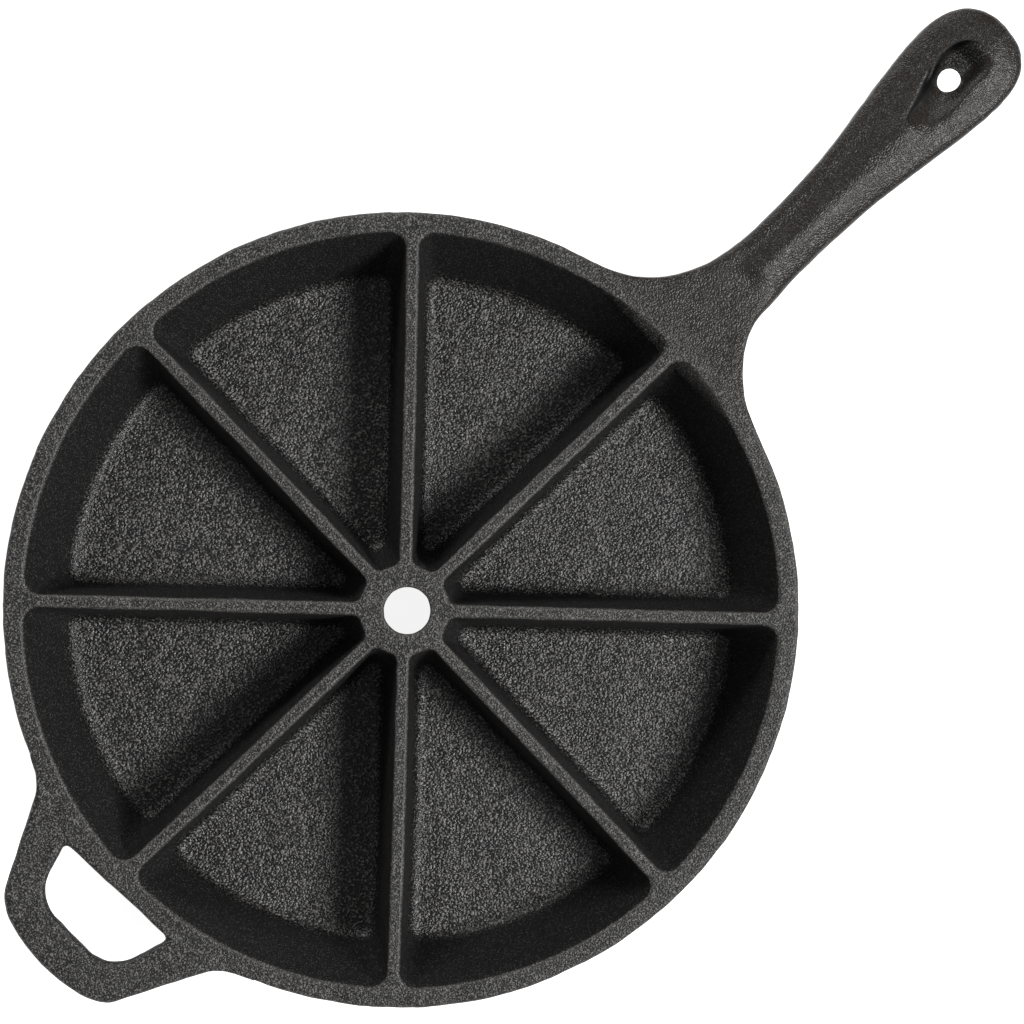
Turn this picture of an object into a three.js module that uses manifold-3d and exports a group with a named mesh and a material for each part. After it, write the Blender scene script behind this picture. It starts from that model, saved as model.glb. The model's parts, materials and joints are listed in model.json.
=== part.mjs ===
// A round cast iron baking pan with eight wedge pockets, a long handle and a short helper handle.
// The frame: the long handle points along +X, the pan opens upwards along +Z and stands on Z = 0,
// and the origin is under the middle of the overall length.
import * as THREE from 'three';
import { mergeVertices } from 'three/addons/utils/BufferGeometryUtils.js';
import Module from 'manifold-3d';

const wasm = await Module();
wasm.setup();

// Driving dimensions, in millimetres and degrees
const OVERALL_LENGTH = 388.6; // helper handle's end to long handle's end
const PAN_DIAMETER = 228.6; // outside of the rim
const PAN_HEIGHT = 38; // base to rim
const RIM_WIDTH = 5.6; // flat top of the wall
const WALL_SLOPE = 17; // wall, from the vertical, inside and outside
const BASE_ROUND = 4; // rounded edge between base and wall
const FLOOR_THICKNESS = 4.5;
const FLOOR_FILLET = 3; // hollow between a pocket's floor and its sides
const POCKET_CORNER = 1.6; // plan radius of a pocket's corners, on the floor
const WEDGE_COUNT = 8;
const DIVIDER_WIDTH = 3.7; // flat top of a divider
const DIVIDER_DRAFT = 4.5; // flank of a divider, from the vertical
const GROOVE_WIDTH = 4.4; // groove under each divider, at the base
const GROOVE_TAPER = 1; // how much each side of the groove leans in
const GROOVE_HEIGHT = 7;
const HUB_HOLE = 13.6; // hole through the middle of the hub
const HUB_WALL = 4; // hub metal beside the hollow under it
const HUB_TOP = 5; // hub metal above the hollow
const HELPER_LENGTH = 31.1; // rim to the helper handle's end
const HELPER_THICKNESS = 6.5;
const HELPER_ROOT = 88; // width where the helper handle leaves the rim
const HELPER_END = 34; // width of its straight end, before the corners are rounded
const HELPER_SIDE = 30; // slope of its sides, from the handle's line
const HELPER_CORNER = 11; // length that rounding takes off each side of a corner
const HELPER_BAR = 10.8; // metal between the finger opening and the end
const FINGER_ROOT = 40; // finger opening at the rim
const FINGER_END = 30; // finger opening at its far side, before the corners are rounded
const FINGER_CORNER = 7;
const NECK_LENGTH = 22.7; // rim to the step where the grip begins
const NECK_THICKNESS = 8;
const NECK_FLARE = 35; // radius of the neck's hollow sides
const GRIP_NARROW = 17.8; // width of the grip at its waist
const GRIP_WIDE = 31; // width of the grip at the eye
const GRIP_END_LENGTH = 18.2; // widest point to the handle's end
const GRIP_TIP = 6.5; // width of the small flat that closes the end
const GRIP_THICKNESS = 12;
const GRIP_RISE = 2.5; // crown of the grip above the rim
const GRIP_SHOULDER = 5; // length over which the grip rises from the neck
const EYE_HOLE = 6.4; // hanging hole
const EYE_HOLE_SETBACK = 5.2; // widest point back to the hanging hole
const EYE_RECESS_WIDTH = 13.8; // drop-shaped recess around the hanging hole
const EYE_RECESS_LENGTH = 29.5;
const EYE_RECESS_LEAD = 12.7; // hanging hole to the recess's round end
const EYE_RECESS_DEPTH = 4.5;
const EYE_RECESS_LEAN = 1.2; // how much the recess narrows towards its floor
const GAP = 0.3; // joint between neighbouring pieces
const OVERRUN = 2; // how far a cutter runs past what it cuts

// How finely curves are divided
const RIM_STEPS = 96;
const ARC_STEPS = 10;
const CORNER_STEPS = 4;
const FILLET_STEPS = 3;
const GRIP_STEPS = 22;
const GRIP_SIDES = 24;
const HUB_STEPS = 48;
const HOLE_STEPS = 24;
const DROP_STEPS = 28;

// Shares and powers that give the grip its form
const GRIP_SWELL = 1.7; // above 1, the grip widens late
const GRIP_SECTION = 2.5; // 2 is an ellipse, more is squarer
const GRIP_END = 2.2; // the same for the outline of its end
const GRIP_SHOULDER_SHARE = 0.75; // thickness left at the neck

// Sizes that follow from the driving ones
const RIM_RADIUS = PAN_DIAMETER / 2;
const HELPER_REACH = RIM_RADIUS + HELPER_LENGTH;
const HANDLE_REACH = OVERALL_LENGTH - HELPER_REACH;
const PAN_X = (HELPER_REACH - HANDLE_REACH) / 2;
const NECK_END = RIM_RADIUS + NECK_LENGTH;
const GRIP_WIDE_AT = HANDLE_REACH - GRIP_END_LENGTH;
const GRIP_TIP_SHARE = (1 - (GRIP_TIP / GRIP_WIDE) ** GRIP_END) ** (1 / GRIP_END);
const EYE_HOLE_AT = GRIP_WIDE_AT - EYE_HOLE_SETBACK;
const EYE_RECESS_MIDDLE = EYE_HOLE_AT + EYE_RECESS_LEAD - EYE_RECESS_LENGTH / 2;
const POCKET_RADIUS = RIM_RADIUS - RIM_WIDTH;
const POCKET_DEPTH = PAN_HEIGHT - FLOOR_THICKNESS;
const WALL_LEAN = Math.tan(THREE.MathUtils.degToRad(WALL_SLOPE));
const DIVIDER_LEAN = Math.tan(THREE.MathUtils.degToRad(DIVIDER_DRAFT));
const WEDGE_ANGLE = (2 * Math.PI) / WEDGE_COUNT;
const HALF_WEDGE = WEDGE_ANGLE / 2;
const QUARTER_TURN = Math.PI / 2;

// Solids from three.js geometry, and back again
const toSolid = (geometry) => {
  const bare = geometry.clone();
  bare.deleteAttribute('normal');
  bare.deleteAttribute('uv');
  const merged = mergeVertices(bare);
  const corners = merged.index.array;
  const kept = [];
  for (let i = 0; i < corners.length; i += 3) {
    const [a, b, c] = corners.slice(i, i + 3);
    if (a !== b && b !== c && c !== a) kept.push(a, b, c);
  }
  const points = new Float32Array(merged.attributes.position.array);
  const triangles = new Uint32Array(kept);
  return new wasm.Manifold(new wasm.Mesh({ numProp: 3, vertProperties: points, triVerts: triangles }));
};

const toGeometry = (solid) => {
  const mesh = solid.getMesh();
  const geometry = new THREE.BufferGeometry();
  geometry.setAttribute('position', new THREE.BufferAttribute(mesh.vertProperties, 3));
  geometry.setIndex(new THREE.BufferAttribute(mesh.triVerts, 1));
  geometry.computeVertexNormals();
  return geometry;
};

// A closed skin over rings of points, each ring with as many points as the next.
// The rings run anticlockwise as seen from the last one, and both end rings are convex.
const loft = (rings) => {
  const count = rings[0].length;
  const points = rings.flat().flatMap((point) => [point.x, point.y, point.z]);
  const corners = [];
  for (let ring = 0; ring + 1 < rings.length; ring += 1) {
    for (let i = 0; i < count; i += 1) {
      const next = (i + 1) % count;
      const here = ring * count;
      const there = here + count;
      corners.push(here + i, here + next, there + next);
      corners.push(here + i, there + next, there + i);
    }
  }
  const last = (rings.length - 1) * count;
  for (let i = 1; i + 1 < count; i += 1) {
    corners.push(0, i + 1, i);
    corners.push(last, last + i, last + i + 1);
  }
  const geometry = new THREE.BufferGeometry();
  geometry.setAttribute('position', new THREE.Float32BufferAttribute(points, 3));
  geometry.setIndex(corners);
  return geometry;
};

// A solid of revolution about the pan's axis; the profile's points are (radius, height).
const turned = (points) => {
  const geometry = new THREE.LatheGeometry(points, RIM_STEPS);
  return toSolid(geometry.rotateX(QUARTER_TURN));
};

// A flat outline in X and Y, drawn up from one height to another.
const plateGeometry = (shape, bottom, top) => {
  const options = { depth: top - bottom, bevelEnabled: false, curveSegments: ARC_STEPS };
  return new THREE.ExtrudeGeometry(shape, options).translate(0, 0, bottom);
};
const plate = (shape, bottom, top) => toSolid(plateGeometry(shape, bottom, top));

// A cone about the pan's axis, or about another upright line at x.
const cone = (bottomRadius, topRadius, bottom, top, steps, x = 0) => {
  const height = top - bottom;
  const geometry = new THREE.CylinderGeometry(topRadius, bottomRadius, height, steps);
  return toSolid(geometry.rotateX(QUARTER_TURN).translate(x, 0, bottom + height / 2));
};

const arcPoints = (centre, radius, from, to, steps) => {
  const points = [];
  for (let i = 0; i <= steps; i += 1) {
    const angle = from + ((to - from) * i) / steps;
    points.push(new THREE.Vector2(centre.x + radius * Math.cos(angle), centre.y + radius * Math.sin(angle)));
  }
  return points;
};

const atHeight = (points, z) => points.map((point) => new THREE.Vector3(point.x, point.y, z));

// One copy of a cutter for each wedge, joined
const aroundThePan = (geometry, firstAngle) => {
  const copies = [];
  for (let i = 0; i < WEDGE_COUNT; i += 1) {
    copies.push(toSolid(geometry.clone().rotateZ(firstAngle + i * WEDGE_ANGLE)));
  }
  return copies.reduce((all, copy) => all.add(copy));
};

// The pan's outside, with room for a joint around it when it is used as a cutter
const panOutside = (clearance) => {
  const baseRadius = RIM_RADIUS - PAN_HEIGHT * WALL_LEAN;
  const profile = new THREE.Path();
  profile.moveTo(0, 0);
  profile.lineTo(baseRadius - BASE_ROUND + clearance, 0);
  profile.quadraticCurveTo(
    baseRadius + clearance,
    0,
    baseRadius + BASE_ROUND * WALL_LEAN + clearance,
    BASE_ROUND,
  );
  profile.lineTo(RIM_RADIUS + clearance, PAN_HEIGHT);
  profile.lineTo(0, PAN_HEIGHT);
  return turned(profile.getPoints(CORNER_STEPS));
};

// A wedge pocket's outline at a depth below the rim, with its middle line along +X.
// Inset moves the whole outline inwards, as the fillet above the floor does.
const pocketOutline = (depth, inset) => {
  const flank = DIVIDER_WIDTH / 2 + depth * DIVIDER_LEAN + inset;
  const outer = POCKET_RADIUS - depth * WALL_LEAN - inset;
  const corner = POCKET_CORNER + FLOOR_FILLET - inset;
  const tip = new THREE.Vector2((flank + corner) / Math.sin(HALF_WEDGE), 0);
  const cornerAngle = HALF_WEDGE - Math.asin((flank + corner) / (outer - corner));
  const cornerCentre = (angle) => {
    const reach = outer - corner;
    return new THREE.Vector2(reach * Math.cos(angle), reach * Math.sin(angle));
  };
  const flankNormal = QUARTER_TURN + HALF_WEDGE;
  return [
    ...arcPoints(tip, corner, flankNormal, 2 * Math.PI - flankNormal, 2 * CORNER_STEPS),
    ...arcPoints(cornerCentre(-cornerAngle), corner, -flankNormal, -cornerAngle, CORNER_STEPS),
    ...arcPoints(new THREE.Vector2(), outer, -cornerAngle, cornerAngle, ARC_STEPS).slice(1, -1),
    ...arcPoints(cornerCentre(cornerAngle), corner, cornerAngle, flankNormal, CORNER_STEPS),
  ];
};

// The hub's radius between two dividers, at a depth below the rim
const hubRadius = (depth) => {
  const flank = DIVIDER_WIDTH / 2 + depth * DIVIDER_LEAN;
  const corner = POCKET_CORNER + FLOOR_FILLET;
  return (flank + corner) / Math.sin(HALF_WEDGE) - corner;
};

const pocketGeometry = () => {
  const rings = [];
  for (let i = FILLET_STEPS; i >= 0; i -= 1) {
    const angle = (QUARTER_TURN * i) / FILLET_STEPS;
    const depth = POCKET_DEPTH - FLOOR_FILLET * (1 - Math.sin(angle));
    const outline = pocketOutline(depth, FLOOR_FILLET * (1 - Math.cos(angle)));
    rings.push(atHeight(outline, PAN_HEIGHT - depth));
  }
  rings.push(atHeight(pocketOutline(0, 0), PAN_HEIGHT));
  rings.push(atHeight(pocketOutline(0, 0), PAN_HEIGHT + OVERRUN));
  return loft(rings);
};

// The flat of a pocket's floor, drawn up through the floor's thickness
const floorGeometry = (clearance, bottom, top) => {
  const outline = pocketOutline(POCKET_DEPTH, FLOOR_FILLET - clearance);
  return plateGeometry(new THREE.Shape(outline), bottom, top);
};

// The groove under a divider, along +X from the hollow under the hub to the floor's edge
const grooveEnd = POCKET_RADIUS - POCKET_DEPTH * WALL_LEAN - FLOOR_FILLET;
const grooveGeometry = () => {
  const half = GROOVE_WIDTH / 2;
  const section = new THREE.Shape();
  section.moveTo(-half - (GROOVE_TAPER * OVERRUN) / GROOVE_HEIGHT, -OVERRUN);
  section.lineTo(half + (GROOVE_TAPER * OVERRUN) / GROOVE_HEIGHT, -OVERRUN);
  section.lineTo(half - GROOVE_TAPER, GROOVE_HEIGHT);
  section.lineTo(-half + GROOVE_TAPER, GROOVE_HEIGHT);
  const geometry = new THREE.ExtrudeGeometry(section, { depth: grooveEnd, bevelEnabled: false });
  return geometry.rotateX(QUARTER_TURN).rotateZ(QUARTER_TURN);
};

// The whole cast body: outside less pockets, grooves, the hollow under the hub and the hub's hole
const castBody = () => {
  const mouth = hubRadius(POCKET_DEPTH) - HUB_WALL;
  const hollow = cone(mouth, hubRadius(HUB_TOP) - HUB_WALL, 0, PAN_HEIGHT - HUB_TOP, HUB_STEPS);
  const hollowMouth = cone(mouth, mouth, -OVERRUN, 0, HUB_STEPS);
  const hole = cone(HUB_HOLE / 2, HUB_HOLE / 2, -OVERRUN, PAN_HEIGHT + OVERRUN, HOLE_STEPS);
  return panOutside(0)
    .subtract(aroundThePan(pocketGeometry(), HALF_WEDGE))
    .subtract(aroundThePan(grooveGeometry(), 0))
    .subtract(hollow)
    .subtract(hollowMouth)
    .subtract(hole);
};

// Cones that part the dividers from the hub and from the wall, outside the pockets' rounded corners
const partingCone = (topRadius, bottomRadius, steps) => {
  const lean = (bottomRadius - topRadius) / PAN_HEIGHT;
  const below = bottomRadius + lean * OVERRUN;
  const above = topRadius - lean * OVERRUN;
  return cone(below, above, -OVERRUN, PAN_HEIGHT + OVERRUN, steps);
};
const cornerReach = POCKET_CORNER + FLOOR_FILLET;
const hubRegion = (clearance) => {
  const reach = cornerReach + clearance;
  return partingCone(hubRadius(0) + reach, hubRadius(POCKET_DEPTH) + reach, HUB_STEPS);
};
const insideWall = (clearance) => {
  const topRadius = POCKET_RADIUS - cornerReach + clearance;
  return partingCone(topRadius, topRadius - PAN_HEIGHT * WALL_LEAN, RIM_STEPS);
};

const body = castBody();
const floorCutter = floorGeometry(GAP, -OVERRUN, FLOOR_THICKNESS + OVERRUN);
const frameOfBody = body.subtract(aroundThePan(floorCutter, HALF_WEDGE));

const wallSolid = () => frameOfBody.subtract(insideWall(0));

const hubSolid = () => frameOfBody.intersect(hubRegion(0));

// One divider, along +X
const dividerSolid = () => {
  const reach = RIM_RADIUS / Math.cos(HALF_WEDGE);
  const sector = new THREE.Shape();
  sector.moveTo(0, 0);
  sector.lineTo(reach * Math.cos(HALF_WEDGE), -reach * Math.sin(HALF_WEDGE));
  sector.lineTo(reach * Math.cos(HALF_WEDGE), reach * Math.sin(HALF_WEDGE));
  return frameOfBody
    .intersect(plate(sector, -OVERRUN, PAN_HEIGHT + OVERRUN))
    .intersect(insideWall(-GAP))
    .subtract(hubRegion(GAP));
};

// The neck's hollow sides are arcs that touch the rim and the grip's waist
const flareCentre = new THREE.Vector2(0, GRIP_NARROW / 2 + NECK_FLARE);
flareCentre.x = Math.sqrt((RIM_RADIUS + NECK_FLARE) ** 2 - flareCentre.y ** 2);
const flareHalfWidth = (x) => {
  const short = Math.max(flareCentre.x - x, 0);
  return flareCentre.y - Math.sqrt(NECK_FLARE ** 2 - short ** 2);
};

const neckSolid = () => {
  const start = flareCentre.clone().setLength(RIM_RADIUS);
  const fromRim = Math.atan2(-flareCentre.y, -flareCentre.x);
  const arcEnd = Math.min(NECK_END, flareCentre.x);
  const toGrip = Math.atan2(flareHalfWidth(arcEnd) - flareCentre.y, arcEnd - flareCentre.x);
  const side = arcPoints(flareCentre, NECK_FLARE, fromRim, toGrip, ARC_STEPS);
  side.push(new THREE.Vector2(NECK_END, flareHalfWidth(NECK_END)));
  const root = new THREE.Vector2(POCKET_RADIUS * Math.cos(HALF_WEDGE), start.y);
  const half = [root, ...side];
  const mirrored = half.map((point) => new THREE.Vector2(point.x, -point.y)).reverse();
  const outline = new THREE.Shape([...mirrored, ...half]);
  return plate(outline, PAN_HEIGHT - NECK_THICKNESS, PAN_HEIGHT).subtract(panOutside(GAP));
};

// The grip's half width at a distance from the pan's axis
const gripHalfWidth = (x) => {
  if (x > GRIP_WIDE_AT) {
    const share = (GRIP_TIP_SHARE * (x - GRIP_WIDE_AT)) / GRIP_END_LENGTH;
    return (GRIP_WIDE / 2) * (1 - share ** GRIP_END) ** (1 / GRIP_END);
  }
  const along = Math.max((x - NECK_END) / (GRIP_WIDE_AT - NECK_END), 0) ** GRIP_SWELL;
  const swell = (1 - Math.cos(Math.PI * along)) / 2;
  return flareHalfWidth(x) + ((GRIP_WIDE - GRIP_NARROW) / 2) * swell;
};

// The grip's half thickness: a shoulder at the neck, and a rounded end
const gripHalfThickness = (x) => {
  const shoulder = Math.min((x - NECK_END) / GRIP_SHOULDER, 1);
  const rise = GRIP_SHOULDER_SHARE + (1 - GRIP_SHOULDER_SHARE) * Math.sin(shoulder * QUARTER_TURN);
  const end = x > GRIP_WIDE_AT ? gripHalfWidth(x) / (GRIP_WIDE / 2) : 1;
  return (GRIP_THICKNESS / 2) * rise * Math.sqrt(end);
};

const gripMiddle = PAN_HEIGHT + GRIP_RISE - GRIP_THICKNESS / 2;
const roundedPower = (value) => Math.sign(value) * Math.abs(value) ** (2 / GRIP_SECTION);

const gripRing = (x) => {
  const ring = [];
  for (let i = 0; i < GRIP_SIDES; i += 1) {
    const angle = (2 * Math.PI * i) / GRIP_SIDES;
    const y = gripHalfWidth(x) * roundedPower(Math.cos(angle));
    const z = gripMiddle + gripHalfThickness(x) * roundedPower(Math.sin(angle));
    ring.push(new THREE.Vector3(x, y, z));
  }
  return ring;
};

// The drop-shaped recess follows the teardrop curve x = cos t, y = sin t sin(t / 2), whose point is at t = 0
const WIDEST_OF_DROP = 4 / (3 * Math.sqrt(3)); // largest y of that curve
const dropOutline = (inset) => {
  const halfLength = EYE_RECESS_LENGTH / 2 - inset;
  const height = (EYE_RECESS_WIDTH / 2 - inset) / WIDEST_OF_DROP;
  const points = [];
  for (let i = 0; i < DROP_STEPS; i += 1) {
    const t = (2 * Math.PI * i) / DROP_STEPS;
    const y = -height * Math.sin(t) * Math.sin(t / 2);
    points.push(new THREE.Vector2(EYE_RECESS_MIDDLE - halfLength * Math.cos(t), y));
  }
  return points;
};

const gripSolid = () => {
  const start = NECK_END + GAP;
  const endSteps = GRIP_STEPS / 2;
  const rings = [];
  for (let i = 0; i <= GRIP_STEPS; i += 1) {
    rings.push(gripRing(start + ((GRIP_WIDE_AT - start) * i) / GRIP_STEPS));
  }
  for (let i = 1; i <= endSteps; i += 1) {
    const share = Math.sin((QUARTER_TURN * i) / endSteps);
    rings.push(gripRing(GRIP_WIDE_AT + GRIP_END_LENGTH * share));
  }
  const top = PAN_HEIGHT + GRIP_RISE;
  const recess = loft([
    atHeight(dropOutline(EYE_RECESS_LEAN), top - EYE_RECESS_DEPTH),
    atHeight(dropOutline(0), top),
    atHeight(dropOutline(0), top + OVERRUN),
  ]);
  const radius = EYE_HOLE / 2;
  const under = gripMiddle - GRIP_THICKNESS;
  const hole = cone(radius, radius, under, top + OVERRUN, HOLE_STEPS, EYE_HOLE_AT);
  return toSolid(loft(rings)).subtract(toSolid(recess)).subtract(hole);
};

// The helper handle: a flat bar bent round a finger opening, both ends on the rim
const helperOutline = () => {
  const sideSlope = Math.tan(THREE.MathUtils.degToRad(HELPER_SIDE));
  const rootAngle = Math.asin(HELPER_ROOT / 2 / RIM_RADIUS);
  const root = new THREE.Vector2(RIM_RADIUS * Math.cos(rootAngle), HELPER_ROOT / 2);
  const endHalf = HELPER_END / 2;
  const sideAt = (x) => endHalf + (HELPER_REACH - x) * sideSlope;
  const rimSlope = -Math.tan(rootAngle);
  const bendX =
    (HELPER_REACH * sideSlope + endHalf - root.y + root.x / rimSlope) / (sideSlope + 1 / rimSlope);
  const sideStart = bendX + (bendX - root.x);
  const cornerX = HELPER_REACH - HELPER_CORNER * Math.cos(THREE.MathUtils.degToRad(HELPER_SIDE));
  const inner = POCKET_RADIUS * Math.cos(rootAngle);
  const shape = new THREE.Shape();
  shape.moveTo(inner, -root.y);
  shape.lineTo(root.x, -root.y);
  shape.quadraticCurveTo(bendX, -sideAt(bendX), sideStart, -sideAt(sideStart));
  shape.lineTo(cornerX, -sideAt(cornerX));
  shape.quadraticCurveTo(HELPER_REACH, -endHalf, HELPER_REACH, -endHalf + HELPER_CORNER);
  shape.lineTo(HELPER_REACH, endHalf - HELPER_CORNER);
  shape.quadraticCurveTo(HELPER_REACH, endHalf, cornerX, sideAt(cornerX));
  shape.lineTo(sideStart, sideAt(sideStart));
  shape.quadraticCurveTo(bendX, sideAt(bendX), root.x, root.y);
  shape.lineTo(inner, root.y);
  return shape;
};

const fingerOutline = () => {
  const far = HELPER_REACH - HELPER_BAR;
  const near = POCKET_RADIUS * Math.cos(HALF_WEDGE / 2);
  const slope = (FINGER_ROOT - FINGER_END) / 2 / (far - RIM_RADIUS);
  const halfAt = (x) => FINGER_END / 2 + (far - x) * slope;
  const cornerX = far - FINGER_CORNER;
  const shape = new THREE.Shape();
  shape.moveTo(near, -halfAt(near));
  shape.lineTo(cornerX, -halfAt(cornerX));
  shape.quadraticCurveTo(far, -halfAt(far), far, -halfAt(far) + FINGER_CORNER);
  shape.lineTo(far, halfAt(far) - FINGER_CORNER);
  shape.quadraticCurveTo(far, halfAt(far), cornerX, halfAt(cornerX));
  shape.lineTo(near, halfAt(near));
  return shape;
};

const helperSolid = () => {
  const bottom = PAN_HEIGHT - HELPER_THICKNESS;
  const opening = plate(fingerOutline(), bottom - OVERRUN, PAN_HEIGHT + OVERRUN);
  return plate(helperOutline(), bottom, PAN_HEIGHT).subtract(opening).subtract(panOutside(GAP));
};

// Seasoned cast iron: nearly black, a little warmer where hands and racks have rubbed it
const IRON = 0x2b2a29;
const FLOOR_IRON = 0x302f2f;
const HANDLE_IRON = 0x2e2a27;
const METALNESS = 0.4;
const seasonedIron = (color, roughness) =>
  new THREE.MeshStandardMaterial({ color, roughness, metalness: METALNESS });

const pan = new THREE.Group();
pan.position.x = PAN_X;

const addPiece = (name, geometry, material, angle = 0) => {
  const mesh = new THREE.Mesh(geometry, material);
  mesh.name = name;
  mesh.rotation.z = angle;
  pan.add(mesh);
};

addPiece('pan_wall', toGeometry(wallSolid()), seasonedIron(IRON, 0.6));
addPiece('centre_hub', toGeometry(hubSolid()), seasonedIron(IRON, 0.55));

const oneDivider = toGeometry(dividerSolid());
const oneFloor = toGeometry(toSolid(floorGeometry(0, 0, FLOOR_THICKNESS)));
for (let i = 0; i < WEDGE_COUNT; i += 1) {
  const angle = i * WEDGE_ANGLE;
  addPiece(`divider_${i + 1}`, oneDivider, seasonedIron(IRON, 0.55), angle);
  addPiece(`wedge_floor_${i + 1}`, oneFloor, seasonedIron(FLOOR_IRON, 0.7), angle + HALF_WEDGE);
}

addPiece('handle_neck', toGeometry(neckSolid()), seasonedIron(HANDLE_IRON, 0.6));
addPiece('handle_grip', toGeometry(gripSolid()), seasonedIron(HANDLE_IRON, 0.5));
addPiece('helper_handle', toGeometry(helperSolid()), seasonedIron(HANDLE_IRON, 0.6), Math.PI);

export default pan;
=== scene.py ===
# %% [markdown]
# # A cast iron wedge pan
#
# The pan is one sand casting: a round body with eight wedge pockets, a long handle and a looped helper
# handle. Nothing on it is fitted later, so the finished model is one closed skin too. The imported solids
# give its place and its main sizes, and every size below is in millimetres from the pan's own axis.

# %% The fixed frame
import json
import math

import bmesh
import bpy
import numpy as np
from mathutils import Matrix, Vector

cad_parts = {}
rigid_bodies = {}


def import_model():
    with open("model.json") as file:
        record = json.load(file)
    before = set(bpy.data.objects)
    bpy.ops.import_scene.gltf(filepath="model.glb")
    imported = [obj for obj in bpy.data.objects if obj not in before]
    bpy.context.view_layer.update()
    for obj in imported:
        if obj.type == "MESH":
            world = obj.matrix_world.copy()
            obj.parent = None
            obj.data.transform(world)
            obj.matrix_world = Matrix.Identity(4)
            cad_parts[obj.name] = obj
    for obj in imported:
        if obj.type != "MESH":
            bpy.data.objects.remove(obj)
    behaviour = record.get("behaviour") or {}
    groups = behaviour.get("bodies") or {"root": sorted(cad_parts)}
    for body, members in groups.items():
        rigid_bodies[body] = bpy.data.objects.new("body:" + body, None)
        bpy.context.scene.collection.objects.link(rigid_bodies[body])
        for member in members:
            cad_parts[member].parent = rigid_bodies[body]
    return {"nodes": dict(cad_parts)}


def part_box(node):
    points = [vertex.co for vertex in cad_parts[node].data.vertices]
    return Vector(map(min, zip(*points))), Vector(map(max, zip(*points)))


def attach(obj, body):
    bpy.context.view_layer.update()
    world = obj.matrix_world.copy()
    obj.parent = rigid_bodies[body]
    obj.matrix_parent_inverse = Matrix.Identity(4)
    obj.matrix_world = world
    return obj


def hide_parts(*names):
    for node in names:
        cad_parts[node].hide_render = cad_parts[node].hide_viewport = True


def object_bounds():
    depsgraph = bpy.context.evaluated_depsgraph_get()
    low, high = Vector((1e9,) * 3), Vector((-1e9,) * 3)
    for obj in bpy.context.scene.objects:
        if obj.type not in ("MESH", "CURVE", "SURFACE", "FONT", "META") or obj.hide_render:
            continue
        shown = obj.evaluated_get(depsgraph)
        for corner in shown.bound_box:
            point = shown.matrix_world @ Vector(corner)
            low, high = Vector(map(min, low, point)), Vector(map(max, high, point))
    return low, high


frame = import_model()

CAD_BOX = [list(corner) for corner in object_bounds()]
MM = 0.001
print("nodes in the frame:", len(frame["nodes"]))

# %% [markdown]
# ## Sizes
#
# The frame gives the sizes that can be read off a box, such as the rim's radius and the handle's reach.
# The rest repeats the values that the solids were drawn from. A casting has no sharp edges, because the
# sand pattern has to leave the mould, so each edge also has a small radius here.

# %% Sizes read from the frame
wall_low, wall_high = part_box("pan_wall")
PAN_X = (wall_low[0] + wall_high[0]) / 2 / MM
RIM_RADIUS = (wall_high[1] - wall_low[1]) / 2 / MM
PAN_HEIGHT = wall_high[2] / MM
HANDLE_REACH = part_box("handle_grip")[1][0] / MM - PAN_X
HELPER_SHORT = 0.7
HELPER_REACH = PAN_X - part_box("helper_handle")[0][0] / MM - HELPER_SHORT
GRIP_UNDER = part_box("handle_grip")[0][2] / MM
print(f"rim radius {RIM_RADIUS:.1f}, handle {HANDLE_REACH:.1f}, helper {HELPER_REACH:.1f} mm")

# %% Sizes of the body
RIM_WIDTH = 5.6
WALL_LEAN = math.tan(math.radians(17))
BASE_ROUND = 4.0
FLOOR_THICKNESS = 4.5
FLOOR_FILLET = 3.0
POCKET_CORNER = 1.6
WEDGES = 8
DIVIDER_WIDTH = 3.7
DIVIDER_LEAN = math.tan(math.radians(4.5))
HUB_HOLE = 13.6
HUB_TOP = 5.0
EDGE_ROUND = 0.8
RIM_ROUND = 1.0
POCKET_RADIUS = RIM_RADIUS - RIM_WIDTH
POCKET_DEPTH = PAN_HEIGHT - FLOOR_THICKNESS
HALF_WEDGE = math.pi / WEDGES
print(f"pockets: radius {POCKET_RADIUS:.1f}, depth {POCKET_DEPTH:.1f} mm")

# %% [markdown]
# ## One wedge of the body
#
# The body repeats eight times around its axis, so only one wedge has to be drawn. Its skin could be cut
# from a solid with booleans, but then its edges would be hard. Here the skin is a stack of rings instead:
# each ring follows the pocket's outline at one depth, and the rings roll over the rim's edge, run down
# the drafted sides, turn through the fillet and close on the floor.

# %% Outline of a pocket
TIP_STEPS = 16
TIP_ARC_STEPS = 6
TIP_END = 13.0
TIP_LEAN = math.tan(math.radians(8.6))
TIP_CORNER = 2.6
TIP_FLOOR_CORNER = FLOOR_FILLET + 0.6
FLANK_STEPS = 60
CORNER_STEPS = 10
OUTER_STEPS = 36
FLANK_NORMAL = math.pi / 2 + HALF_WEDGE


def arc(centre, radius, start, end, steps):
    angle = np.linspace(start, end, steps + 1)
    return np.column_stack((centre[0] + radius * np.cos(angle), centre[1] + radius * np.sin(angle)))


def line(start, end, steps):
    share = np.linspace(0, 1, steps + 1)[:, None]
    return np.asarray(start) * (1 - share) + np.asarray(end) * share


def mirrored(points):
    return (points * (1, -1))[::-1]


def smooth_step(low, high, value):
    share = np.clip((value - low) / (high - low), 0, 1)
    return share * share * (3 - 2 * share)


def pocket_sides(depth, inset):
    flank = DIVIDER_WIDTH / 2 + depth * DIVIDER_LEAN + inset
    outer = POCKET_RADIUS - depth * WALL_LEAN - inset
    corner = POCKET_CORNER + FLOOR_FILLET - inset
    return flank, outer, corner


def corner_angle(depth, inset):
    flank, outer, corner = pocket_sides(depth, inset)
    return HALF_WEDGE - math.asin((flank + corner) / (outer - corner))


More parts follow.
